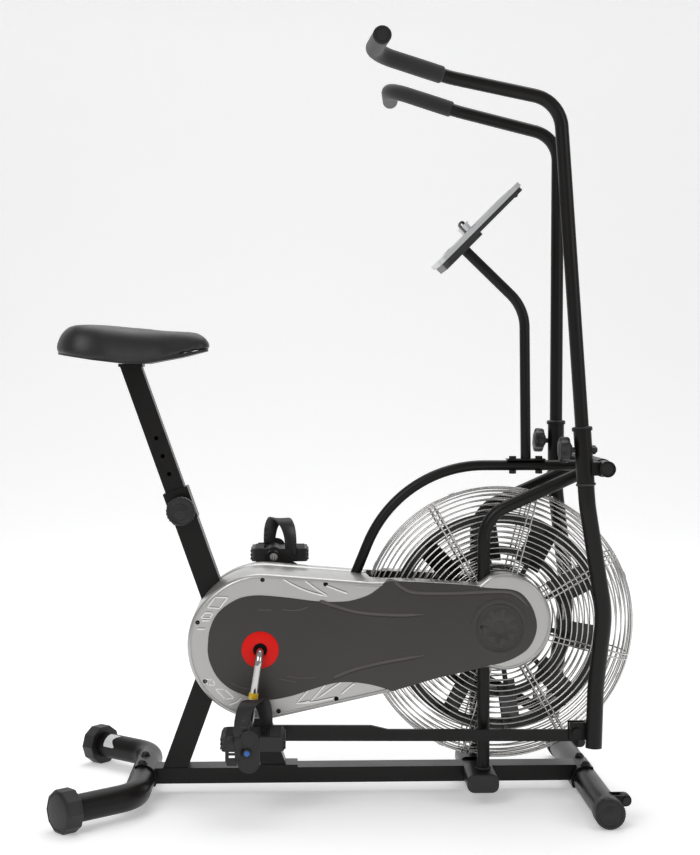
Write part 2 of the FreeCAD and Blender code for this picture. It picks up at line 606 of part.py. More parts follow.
def arm_knob():
    """Lobed clamping knob behind the socket, its screw ending just short of the handlebar."""
    at = SOCKET_BOTTOM + HANDLE_AXIS * 65
    head = Part.makeCylinder(19, 22, V(at.x - 47, at.y, at.z), X_AXIS)
    lobes = []
    for i in range(6):
        angle = math.radians(60 * i)
        centre = V(at.x - 47, at.y + 17 * math.cos(angle), at.z + 17 * math.sin(angle))
        lobes.append(Part.makeCylinder(7, 22, centre, X_AXIS))
    screw = Part.makeCylinder(5, 47 - 13.6, V(at.x - 47, at.y, at.z), X_AXIS)
    return fused(head, screw, *lobes)


def handle_points():
    return [SOCKET_BOTTOM + HANDLE_AXIS * 38, HANDLE_CORNER, V(175.5, -165, 1351),
            V(34.5, -190, 1390), V(45.5, -328, 1391)]




def handlebar():
    return tube(handle_points(), HANDLE_RADII, HANDLE_RADIUS, 2)


def grip():
    """Foam sleeve over the last stretch of the handlebar, closed by a plug."""
    corner, start, bend, end = handle_points()[1:]
    start = start + (bend - start).normalize() * 12
    points = [start, bend, end]
    outer = tube(points, [46], 16)
    sleeve = outer.cut(tube(points, [46], HANDLE_RADIUS))
    along = (end - bend).normalize()
    plug = rod_between(end, end + along * 3, 16)
    return group(sleeve, plug)


def link(side_angle):
    """Flat bar from the crank side to the arm, with an eye at each end and a bush in the front one."""
    length = link_length()
    points = [(0, 11), (230, 11), (262, 3.5), (length, 3.5), (length, -18), (0, -18)]
    bar = prism_y(outline_xz(points), -LINK_Y1, -LINK_Y0)
    bar = fused(bar, rod_y(0, -3.5, 16, -LINK_Y1, -LINK_Y0), rod_y(length, -4, 14.3, -LINK_Y1, -LINK_Y0))
    bar = bar.cut(rod_y(length, 0, 8, -LINK_Y1 - 1, -LINK_Y0 + 1)).cut(rod_y(0, 0, 8, -120, -100))
    bush = ring_y(length, 0, 5 + RUNNING_FIT, 8, -LINK_Y1, -LINK_Y0)
    both = group(bar, bush)
    both.rotate(V(0, 0, 0), Y_AXIS, side_angle)
    return both


def link_length():
    pin = crank_pin("right")
    return math.hypot(LINK_PIN_X - pin.x, LINK_PIN_Z - pin.z)


def left_arm_turn():
    """How far the left arm is turned from the right one's place, so that its link closes."""
    pin = crank_pin("left")
    radius = math.hypot(LINK_PIN_X - PIVOT_X, LINK_PIN_Z - PIVOT_Z)
    span = math.hypot(pin.x - PIVOT_X, pin.z - PIVOT_Z)
    inner = math.acos((radius ** 2 + span ** 2 - link_length() ** 2) / (2 * radius * span))
    to_pin = math.atan2(PIVOT_X - pin.x, PIVOT_Z - pin.z)
    rest = math.atan2(PIVOT_X - LINK_PIN_X, PIVOT_Z - LINK_PIN_Z)
    return math.degrees(to_pin - inner - rest)


def left_of_arm(shape):
    """A piece of the right arm, made again for the left one."""
    other = mirrored(shape)
    other.rotate(V(PIVOT_X, 0, PIVOT_Z), Y_AXIS, left_arm_turn())
    return other


def placed_link(side):
    pin = crank_pin(side)
    turn = math.radians(0 if side == "right" else left_arm_turn())
    dx, dz = LINK_PIN_X - PIVOT_X, LINK_PIN_Z - PIVOT_Z
    end_x = PIVOT_X + dx * math.cos(turn) + dz * math.sin(turn)
    end_z = PIVOT_Z - dx * math.sin(turn) + dz * math.cos(turn)
    tilt = -math.degrees(math.atan2(end_z - pin.z, end_x - pin.x))
    bar = link(tilt)
    bar.translate(V(pin.x, 0, pin.z))
    return bar if side == "right" else mirrored(bar)


# Pedals ---------------------------------------------------------------------------
def pedal_body(pin):
    """Platform with cross ribs round a hub, and the weight under it that keeps it level."""
    y0, y1 = -PEDAL_Y1, -PEDAL_Y0
    plate = block(pin.x - 45, pin.x + 68, y0, y1, pin.z - 12, pin.z + 14)
    upright_edges = [e for e in plate.Edges if abs(e.CenterOfMass.z - pin.z - 1) < 0.1]
    plate = plate.makeFillet(12, upright_edges)
    for x in (-30, 26, 48):
        width = 14 if x < 0 else 12
        plate = plate.cut(block(pin.x + x, pin.x + x + width, y0 + 12, y1 - 12, pin.z - 20, pin.z + 20))
    hub = rod_y(pin.x, pin.z, PEDAL_HUB_RADIUS, y0, y1)
    lobe = fused(block(pin.x - 16, pin.x + 24, y0 + 2, y0 + 14, pin.z - 32, pin.z),
                 rod_y(pin.x + 4, pin.z - 32, 20, y0 + 2, y0 + 14))
    body = fused(plate, hub, lobe)
    body = body.cut(rod_y(pin.x, pin.z, 7 + RUNNING_FIT, y0 + 3.6, y1 + 1))
    return body.cut(rod_y(pin.x, pin.z, 13.6, y1 - 0.2, y1 + 1))


def pedal_strap(pin):
    """Toe strap: an arch over the pedal from one edge to the other, with a buckle button."""
    x0, x1 = pin.x - 6, pin.x + 30
    mid_y = -(PEDAL_Y0 + PEDAL_Y1) / 2
    half = (PEDAL_Y1 - PEDAL_Y0) / 2 - 5

    def arch(reach, height):
        left = V(x0, mid_y - reach, pin.z + 14)
        top = V(x0, mid_y, pin.z + height)
        right = V(x0, mid_y + reach, pin.z + 14)
        shoulder = 0.8 * reach
        curve = Part.BSplineCurve()
        curve.interpolate([left, V(x0, mid_y - shoulder - 5, pin.z + height - 22), top,
                           V(x0, mid_y + shoulder + 5, pin.z + height - 22), right])
        base = Part.LineSegment(right, left).toShape()
        return Part.Face(Part.Wire([curve.toShape(), base])).extrude(V(x1 - x0, 0, 0))

    strap = arch(half, 79).cut(arch(half - 3, 76))
    strap.rotate(V(pin.x + 12, mid_y, 0), Z_AXIS, -STRAP_SKEW)
    strap = strap.cut(rod_y(pin.x, pin.z, PEDAL_HUB_RADIUS + 0.05, -PEDAL_Y1 - 30, -PEDAL_Y0 + 30))
    button = rod_y(pin.x + 1, pin.z - 14, 7, -PEDAL_Y1 - 3, -PEDAL_Y1)
    return group(strap, button)


# Console --------------------------------------------------------------------------
def mast():
    bar = tube(MAST_POINTS, [MAST_BEND], MAST_RADIUS, MAST_WALL)
    foot = block(306, 380, -14, 14, 645.5, 648.5)
    for x in MAST_BOLT_X:
        foot = foot.cut(Part.makeCylinder(3.5, 20, V(x, 0, 640), Z_AXIS))
    return fused(bar, foot)


def bolts():
    """Bolts through the mast foot, and carriage bolts through the stabilisers."""
    parts = []
    for x in MAST_BOLT_X:
        shank = Part.makeCylinder(3.5, 33.5, V(x, 0, 619), Z_AXIS)
        head = Part.makeCylinder(7, 5, V(x, 0, 648.5), Z_AXIS)
        nut = Part.makeCylinder(7, 6, V(x, 0, 619.5), Z_AXIS)
        nut = nut.cut(rod_between(V(x - 20, 0, 635.5), V(x + 20, 0, 635.5), 10))
        parts.append(fused(shank, head, nut))
    for x, z in ((REAR_STABILISER_X, REAR_STABILISER_Z), (FRONT_STABILISER_X, FRONT_STABILISER_Z)):
        for y in (-34, 34):
            dome = Part.makeSphere(9, V(x, y, z + STABILISER_RADIUS + 3))
            dome = dome.common(block(x - 20, x + 20, y - 20, y + 20, z + STABILISER_RADIUS + 3.99, z + 60))
            washer = Part.makeCylinder(10, 4, V(x, y, z + STABILISER_RADIUS + 2), Z_AXIS)
            dome = fused(dome, washer)
            parts.append(dome.cut(rod_y(x, z, STABILISER_RADIUS + 4, -60, 60)))
    return group(*parts)




def on_console(shape):
    """From the console's own frame (x up its face, z out of the face) to its place."""
    shape.rotate(V(0, 0, 0), Y_AXIS, -CONSOLE_TILT)
    shape.translate(CONSOLE_LOW)
    return shape


def rounded_plate(x0, x1, width, z0, z1, corner):
    plate = block(x0, x1, -width / 2, width / 2, z0, z1)
    edges = [e for e in plate.Edges if abs(e.CenterOfMass.z - (z0 + z1) / 2) < 0.01]
    return plate.makeFillet(corner, edges)


def console_parts():
    bezel = rounded_plate(0, CONSOLE_LENGTH, CONSOLE_WIDTH, -4, 5, 16)
    window = rounded_plate(110, 196, 112, 1, 6, 4)
    bezel = bezel.cut(window)
    for y in CONSOLE_BUTTON_Y:
        bezel = bezel.cut(Part.makeCylinder(8.4, 20, V(CONSOLE_BUTTON_X, y, -10), Z_AXIS))
    ledge = block(88, 94, -60, 60, 5, 20).fuse(block(94, 97, -60, 60, 17, 20))
    bezel = fused(bezel, ledge)
    back = rounded_plate(4, CONSOLE_LENGTH - 4, CONSOLE_WIDTH - 8, -12, -4, 14)
    back = fused(back, rounded_plate(4, 100, CONSOLE_WIDTH - 16, -18, -10, 12))
    back = back.cut(rod_between(V(60, 0, -60), V(60, 0, -14), 10.0))
    screen = rounded_plate(110, 196, 112, 1, 3, 4)
    mast_clear = tube(MAST_POINTS, [MAST_BEND], MAST_RADIUS)
    return (on_console(bezel), on_console(back).cut(mast_clear), on_console(screen))




def console_button(y):
    button = Part.makeCylinder(8, 9, V(CONSOLE_BUTTON_X, y, -2.7), Z_AXIS)
    return on_console(button)


def pivot_axle():
    axle = fused(rod_y(PIVOT_X, PIVOT_Z, 8, -177.6, 177.6))
    nuts = [rod_y(PIVOT_X, PIVOT_Z, 11, 178.4, 183).fuse(rod_y(PIVOT_X, PIVOT_Z, 8, 177, 179))]
    return fused(axle, nuts[0], mirrored(nuts[0]))


def pivot_tube():
    bar = rod_y(PIVOT_X, PIVOT_Z, 17, -139, 139)
    return bar.cut(rod_y(PIVOT_X, PIVOT_Z, 8, -140, 140))


def all_parts():
    pad, shell, clamp = saddle_parts()
    bezel, back, screen = console_parts()
    cage = cage_half()
    crank_bearing = bearing(CRANK_X, CRANK_Z, 10 + RUNNING_FIT, 17, 30, 42)
    fan_bearing = bearing(FAN_X, FAN_Z, 8 + RUNNING_FIT, 14, 56, 69)
    parts = {
        "main_rail": rail_and_saddles(),
        "rear_stabiliser": rear_stabiliser(),
        "rear_stabiliser_caps": group(rear_cap(), mirrored(rear_cap())),
        "front_stabiliser": front_stabiliser(),
        "front_stabiliser_caps": group(front_cap(), mirrored(front_cap())),
        "frame_bolts": group(bolts(), wheel_axles()),
        "foot_bar": foot_bar(),
        "foot_bar_caps": group(foot_bar_cap(), mirrored(foot_bar_cap())),
        "uprights": uprights(),
        "arc_tube": arc_tube(),
        "pivot_tube": pivot_tube(),
        "pivot_axle": pivot_axle(),
        "seat_tube": seat_tube(),
        "rear_brace": rear_brace(),
        "seat_sleeve": seat_sleeve(),
        "seat_post": seat_post(),
        "saddle_pad": pad,
        "saddle_base": shell,
        "saddle_clamp": clamp,
        "seat_pin": seat_pin(),
        "crank": crank(),
        "drive_pulley": pulley(CRANK_X, CRANK_Z, DRIVE_PULLEY_RADIUS, 10, 6),
        "fan_pulley": pulley(FAN_X, FAN_Z, FAN_PULLEY_RADIUS, 8, 0),
        "drive_belt": belt(),
        "crank_bearings": crank_bearing,
        "fan_bearings": fan_bearing,
        "fan_shaft": rod_y(FAN_X, FAN_Z, 8, BELT_Y0 - 0.5, 72),
        "fan_wheel": fan_wheel(),
        "left_cage": cage,
        "right_cage": mirrored(cage),
        "right_case_shell": mirrored(case_shell()),
        "left_case_shell": case_shell(),
        "right_case_panel": mirrored(case_panel()),
        "left_case_panel": case_panel(),
        "case_screws": case_screws(),
        "crank_hub_rings": hub_rings(),
        "fan_plug_covers": plug_covers(),
        "console_mast": mast(),
        "console_bezel": bezel,
        "console_back": back,
        "console_screen": screen,
    }
    for name, y in zip(("mode", "set", "reset"), CONSOLE_BUTTON_Y):
        parts["console_" + name + "_button"] = console_button(y)
    for name, make in (("arm", arm), ("handlebar", handlebar), ("grip", grip), ("arm_knob", arm_knob)):
        shape = make()
        parts["right_" + name] = shape
        if name in ("handlebar", "grip"):
            shape = shape.copy()
            shape.translate(HANDLE_AXIS * -LEFT_HANDLE_DROP)
        parts["left_" + name] = left_of_arm(shape)
    for side in ("right", "left"):
        flip = mirrored if side == "left" else (lambda shape: shape)
        parts[side + "_link"] = placed_link(side)
        parts[side + "_pedal"] = flip(pedal_body(crank_pin(side)))
        parts[side + "_pedal_strap"] = flip(pedal_strap(crank_pin(side)))
        parts[side + "_transport_wheel"] = flip(transport_wheel())
    return parts


os.makedirs("parts", exist_ok=True)
for name, shape in all_parts().items():
    if not shape.isValid():
        raise ValueError(name + " is not a valid shape")
    shape.exportStep(os.path.join("parts", name + ".step"))
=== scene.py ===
"""Air bike: the looks of a fan-braked exercise bike, built round its mechanical frame."""

import math

import bmesh
import bpy
import numpy as np
from bpy.props import FloatProperty, FloatVectorProperty, IntProperty, PointerProperty
from bpy.types import Operator, Panel, PropertyGroup
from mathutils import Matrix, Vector


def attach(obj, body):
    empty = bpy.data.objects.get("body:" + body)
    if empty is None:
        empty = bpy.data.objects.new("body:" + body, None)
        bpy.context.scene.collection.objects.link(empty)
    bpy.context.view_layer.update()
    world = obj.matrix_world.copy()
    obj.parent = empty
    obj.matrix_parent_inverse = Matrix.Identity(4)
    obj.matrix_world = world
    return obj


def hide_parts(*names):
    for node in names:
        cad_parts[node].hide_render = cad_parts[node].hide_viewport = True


bl_info = {
    "name": "Air bike",
    "version": (1, 0, 0),
    "blender": (4, 5, 0),
    "location": "View3D > Sidebar > Air bike",
    "description": "Covers, padding, hardware and finishes of a fan-braked exercise bike",
    "category": "Add Mesh",
}

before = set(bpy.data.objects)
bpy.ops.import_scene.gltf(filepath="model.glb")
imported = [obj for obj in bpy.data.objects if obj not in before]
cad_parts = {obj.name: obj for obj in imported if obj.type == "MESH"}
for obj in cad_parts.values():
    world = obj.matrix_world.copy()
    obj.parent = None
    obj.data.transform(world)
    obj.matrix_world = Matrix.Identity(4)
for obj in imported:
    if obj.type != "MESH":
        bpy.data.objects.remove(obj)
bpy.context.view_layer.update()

MM = 0.001
RIGHT, LEFT = -1.0, 1.0
SIDE_NAME = {RIGHT: "right", LEFT: "left"}

# Places on the bike, in millimetres: x forward, z up, and y to the rider's left.
CRANK = (-170.0, 295.5)
FAN = (288.5, 332.0)
CAGE_RADIUS = 262.0
REAR_ROUND, REAR_ROUND_RADIUS = (-167.0, 303.5), 137.0
NOSE_ROUND, NOSE_ROUND_RADIUS = (288.0, 345.0), 89.0
COVER_INNER, COVER_FACE, PANEL_FACE = 1.0, 96.5, 99.0
PLUG = (280.5, 336.0)
PIVOT = (466.5, 638.2)
CAGE_MARGIN, CAGE_SKIRT = 7.0, 54.0


def colour(name, words, value):
    return FloatVectorProperty(
        name=name, description=words, subtype="COLOR", size=3, min=0.0, max=1.0, default=value
    )


def length(name, words, value, least=0.0, most=0.1):
    return FloatProperty(
        name=name, description=words, unit="LENGTH", min=least, max=most, default=value
    )


class BikeFinishes(PropertyGroup):
    """Colours of the bike's paint, plastics, metals and padding."""

    paint: colour("Frame paint", "Satin black powder coat of the tubes", (0.0056, 0.0047, 0.0042))
    silver: colour("Silver plastic", "Metallic plastic of the covers' rims", (0.47, 0.465, 0.455))
    panel: colour("Dark panel", "Warm dark grey plastic of the covers' middles", (0.029, 0.0252, 0.0228))
    accent: colour("Accent", "Ring round the crank's shaft", (0.70, 0.006, 0.003))
    chrome: colour("Chrome", "Plated wire of the fan's cage and the crank", (0.56, 0.55, 0.54))
    foam: colour("Foam grips", "Closed-cell foam on the handlebars", (0.0085, 0.008, 0.008))
    vinyl: colour("Saddle vinyl", "Soft vinyl over the saddle's foam", (0.0075, 0.0066, 0.0062))
    label: colour("Blank label", "Plain label on a rear leg", (0.68, 0.69, 0.69))
    band: colour("Crank band", "Coloured sleeve near the foot of the crank", (0.76, 0.47, 0.008))


class BikeSizes(PropertyGroup):
    """Sizes that set how the bike's small details look."""

    cover_round: length("Cover rounding", "How far the covers' rims round over, across the face", 0.006)
    panel_round: length("Panel rounding", "Radius of the dark panel's edge", 0.0021)
    bead: length("Bead", "Half width of the moulded lines on the covers", 0.0014)
    screw: length("Screw radius", "Radius of the covers' screw heads", 0.0048)
    weld: length("Weld", "Half width of the weld beads at the tube joints", 0.0026)
    saddle_swell: length("Saddle swell", "Furthest the saddle's padding may swell", 0.003)
    rib_count: IntProperty(
        name="Cap ribs", description="Fine ribs round each front foot", min=8, max=80, default=36
    )


class BikeStage(PropertyGroup):
    """The floor, the lights and the camera."""

    floor: colour("Floor", "Plain pale floor and backdrop", (0.93, 0.93, 0.935))
    key_power: FloatProperty(
        name="Key light", description="Power of the large soft light", unit="POWER", min=0.0, default=62.0
    )
    fill_power: FloatProperty(
        name="Fill light", description="Power of each smaller light", unit="POWER", min=0.0, default=24.0
    )
    lens: FloatProperty(
        name="Lens", description="Focal length of the camera in millimetres", min=20.0, max=200.0,
        default=65.37
    )


# Shapes ------------------------------------------------------------------------------


def unit(v):
    """Each vector divided by its own length."""
    v = np.asarray(v, float)
    return v / np.linalg.norm(v, axis=-1, keepdims=True)


def rounded_run(points, radii, steps=12):
    """A run of straight lines whose corners are arcs.

    Each arc touches both of its lines, r tan(a/2) from the corner, where a is the angle
    the run turns through; its centre is on the line that halves the corner."""
    points = [np.asarray(p, float) for p in points]
    out = [points[0]]
    for before, corner, after, r in zip(points, points[1:], points[2:], radii):
        d0, d1 = unit(corner - before), unit(after - corner)
        turn = math.acos(float(np.clip(d0 @ d1, -1, 1)))
        start = corner - d0 * r * math.tan(turn / 2)
        inward = unit(d1 - d0 * (d0 @ d1))
        angle = np.linspace(0, turn, steps)[:, None]
        out.extend(start + d0 * r * np.sin(angle) + inward * r * (1 - np.cos(angle)))
    out.append(points[-1])
    return np.array(out)


def resampled(path, spacing):
    """The path's points set evenly, about that spacing apart, along its length."""
    path = np.asarray(path, float)
    along = np.concatenate([[0], np.cumsum(np.linalg.norm(np.diff(path, axis=0), axis=1))])
    n = max(3, int(round(along[-1] / spacing)) + 1)
    at = np.linspace(0, along[-1], n)
    return np.stack([np.interp(at, along, path[:, i]) for i in range(path.shape[1])], 1)


def catmull_rom(corners, f):
    """The cubic through the middle two of four points, at fractions f of the way between them."""
    p0, p1, p2, p3 = corners
    return 0.5 * (2 * p1 + (p2 - p0) * f + (2 * p0 - 5 * p1 + 4 * p2 - p3) * f**2
                  + (3 * p1 - p0 - 3 * p2 + p3) * f**3)


def closed_curve(points, count):
    """A Catmull-Rom curve through a closed ring of points, evenly spaced in its parameter."""
    p = np.asarray(points, float)
    t = np.arange(count) * len(p) / count
    i, f = np.floor(t).astype(int), (t % 1)[:, None]
    return catmull_rom([p[(i + k) % len(p)] for k in (-1, 0, 1, 2)], f)


def sweep(path, radius, sides=20, across=(0.3, 0.5, 0.81)):
    """Circles of the given radius carried square to a path.

    At each point the ring is p + r cos(v) a + r sin(v) b, where a is square to the path and
    to the fixed direction `across`, and b is square to both."""
    path = np.asarray(path, float)
    t = unit(np.gradient(path, axis=0))
    a = unit(np.cross(t, np.broadcast_to(across, t.shape)))
    b = np.cross(t, a)
    v = np.linspace(0, 2 * np.pi, sides, endpoint=False)[None, :, None]
    r = np.broadcast_to(np.asarray(radius, float).reshape(-1, 1, 1), (len(path), sides, 1))
    return path[:, None] + r * (np.cos(v) * a[:, None] + np.sin(v) * b[:, None])


def turned(profile, centre, axis, sides=48, ribs=0, depth=0.0, phase=0.0):
    """A profile of (radius, height) pairs turned round an axis.

    With ribs, the radius is r (1 + depth cos(ribs v))."""
    axis = unit(axis)
    a = unit(np.cross(axis, (0.31, 0.12, 0.93) if abs(axis[1]) > 0.5 else (0.1, 1.0, 0.05)))
    b = np.cross(axis, a)
    v = np.linspace(0, 2 * np.pi, sides, endpoint=False)[None, :, None] + phase
    r, h = np.asarray(profile, float).T[:, :, None, None]
    r = r * (1 + depth * np.cos(ribs * v))
    return np.asarray(centre, float) + h * axis + r * (np.cos(v) * a + np.sin(v) * b)


def inset(outline, distance):
    """A closed outline moved inwards along its normals, in its own plane."""
    t = unit(np.roll(outline, -1, 0) - np.roll(outline, 1, 0))
    n = np.stack([-t[:, 1], t[:, 0]], 1)
    x, z = outline.T
    area = 0.5 * np.sum(x * np.roll(z, -1) - z * np.roll(x, -1))
    return outline + n * distance * np.sign(area)


def plate_rings(outline, steps, side):
    """An x-z outline carried outwards in y: each step is (inset, |y|)."""
    rings = []
    for move, y in steps:
        ring = inset(outline, move)
        out = np.broadcast_to(side * np.asarray(y, float), len(ring))
        rings.append(np.stack([ring[:, 0], out, ring[:, 1]], 1))
    return np.array(rings)


def rounded_edge(y0, y1, reach, drop, steps=7):
    """Plate steps for a straight side from y0 and a quarter ellipse over to the face at y1."""
    t = np.linspace(0, np.pi / 2, steps)
    return [(0.0, y0)] + [(reach * (1 - math.cos(a)), y1 - drop + drop * math.sin(a)) for a in t]


def capsule(a, b, radius, count=24):
    """Closed x-z outline of a slot with round ends."""
    a, b = np.asarray(a, float), np.asarray(b, float)
    d = unit(b - a)
    start = math.atan2(d[1], d[0]) - math.pi / 2
    half = np.linspace(start, start + np.pi, count // 2)
    end = np.stack([np.cos(half), np.sin(half)], 1) * radius
    return np.concatenate([b + end, a - end])


def rounded_polygon(points, radius, steps=5):
    """A closed outline with an arc at each corner."""
    p = [np.asarray(q, float) for q in points]
    ring = p[-1:] + p + p[:1]
    out = []
    for before, corner, after in zip(ring, ring[1:], ring[2:]):
        d0, d1 = unit(corner - before), unit(after - corner)
        reach = min(radius, 0.45 * np.linalg.norm(corner - before), 0.45 * np.linalg.norm(after - corner))
        f = np.linspace(0, 1, steps)[:, None]
        out.extend((1 - f) ** 2 * (corner - d0 * reach) + 2 * f * (1 - f) * corner
                   + f**2 * (corner + d1 * reach))
    return np.array(out)


class Mould:
    """Collects skins, each a grid of points, and turns them into one piece."""

    def __init__(self):
        self.points, self.faces, self.count = [], [], 0

    def skin(self, grid, wrap_u=False, ends=True):
        """Quads over a grid of points (u, v, xyz), closed in v; open ends get flat faces."""
        nu, nv = grid.shape[:2]
        u = np.arange(nu if wrap_u else nu - 1)[:, None]
        v = np.arange(nv)[None, :]
        u1, v1 = (u + 1) % nu, (v + 1) % nv
        quads = np.stack([u * nv + v, u1 * nv + v, u1 * nv + v1, u * nv + v1], -1).reshape(-1, 4)
        self.faces.extend((quads + self.count).tolist())
        if ends and not wrap_u:
            first = self.count + np.arange(nv)
            self.faces.append(first[::-1].tolist())
            self.faces.append((first + (nu - 1) * nv).tolist())
        self.points.append(grid.reshape(-1, 3))
        self.count += nu * nv
        return self

    def make(self, name, body, slot, coat, stands_for=(), smooth=35.0, outward=True):
        """The piece, in metres, with its faces outward, its finish and its body."""
        mesh = bpy.data.meshes.new(name)
        mesh.from_pydata(np.concatenate(self.points) * MM, [], self.faces)
        work = bmesh.new()
        work.from_mesh(mesh)
        bmesh.ops.remove_doubles(work, verts=work.verts, dist=1e-6)
        if outward:
            bmesh.ops.recalc_face_normals(work, faces=work.faces)
        work.to_mesh(mesh)
        work.free()
        mesh.shade_smooth()
        mesh.set_sharp_from_angle(angle=math.radians(smooth))
        piece = bpy.data.objects.new(name, mesh)
        bpy.context.scene.collection.objects.link(piece)
        piece.data.materials.append(coat)
        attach(piece, body)
        if stands_for:
            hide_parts(*stands_for)
        return piece


# Finishes ----------------------------------------------------------------------------


def surface(name, base, rough, grain="noise", grain_scale=900.0, relief=0.00005, spread=0.12,
            rough_spread=0.08, cloud_scale=9.0, stretch=(1.0, 1.0, 1.0), **sockets):
    """A procedural finish read from Object coordinates.

    A coarse cloud of noise varies the colour and the gloss a little, and a fine grain
    (noise, cells or ribs) gives the relief. Constant values go straight to the shader."""
    coat = bpy.data.materials.get(name)
    if coat:
        return coat
    coat = bpy.data.materials.new(name)
    coat.use_nodes = True
    tree = coat.node_tree
    shader = tree.nodes["Principled BSDF"]
    for socket, value in sockets.items():
        shader.inputs[socket.replace("_", " ")].default_value = value
    place = tree.nodes.new("ShaderNodeTexCoord")
    turn = tree.nodes.new("ShaderNodeMapping")
    turn.inputs["Scale"].default_value = stretch
    tree.links.new(place.outputs["Object"], turn.inputs["Vector"])
    cloud = tree.nodes.new("ShaderNodeTexNoise")
    cloud.inputs["Scale"].default_value = cloud_scale
    cloud.inputs["Detail"].default_value = 5.0
    tree.links.new(turn.outputs["Vector"], cloud.inputs["Vector"])
    if grain == "cells":
        fine = tree.nodes.new("ShaderNodeTexVoronoi")
        height = fine.outputs["Distance"]
    else:
        fine = tree.nodes.new("ShaderNodeTexNoise")
        fine.inputs["Detail"].default_value = 3.0
        height = fine.outputs["Fac"]
    fine.inputs["Scale"].default_value = grain_scale
    tree.links.new(turn.outputs["Vector"], fine.inputs["Vector"])
    blend = tree.nodes.new("ShaderNodeMix")
    blend.data_type = "FLOAT"
    blend.inputs[0].default_value = 0.4
    tree.links.new(cloud.outputs["Fac"], blend.inputs[2])
    tree.links.new(height, blend.inputs[3])
    ramp = tree.nodes.new("ShaderNodeValToRGB")
    ramp.color_ramp.elements[0].position = 0.25
    ramp.color_ramp.elements[1].position = 0.75
    base = np.asarray(base, float)
    ramp.color_ramp.elements[0].color = (*np.clip(base * (1 - spread), 0, 1), 1)
    ramp.color_ramp.elements[1].color = (*np.clip(base * (1 + spread), 0, 1), 1)
    tree.links.new(blend.outputs[0], ramp.inputs["Fac"])
    tree.links.new(ramp.outputs["Color"], shader.inputs["Base Color"])
    gloss = tree.nodes.new("ShaderNodeMapRange")
    gloss.inputs["From Min"].default_value = 0.3
    gloss.inputs["From Max"].default_value = 0.7
    gloss.inputs["To Min"].default_value = max(0.02, rough - rough_spread)
    gloss.inputs["To Max"].default_value = min(1.0, rough + rough_spread)
    tree.links.new(cloud.outputs["Fac"], gloss.inputs["Value"])
    tree.links.new(gloss.outputs["Result"], shader.inputs["Roughness"])
    bump = tree.nodes.new("ShaderNodeBump")
    bump.inputs["Distance"].default_value = relief
    bump.inputs["Strength"].default_value = 1.0
    tree.links.new(height, bump.inputs["Height"])
    tree.links.new(bump.outputs["Normal"], shader.inputs["Normal"])
    return coat


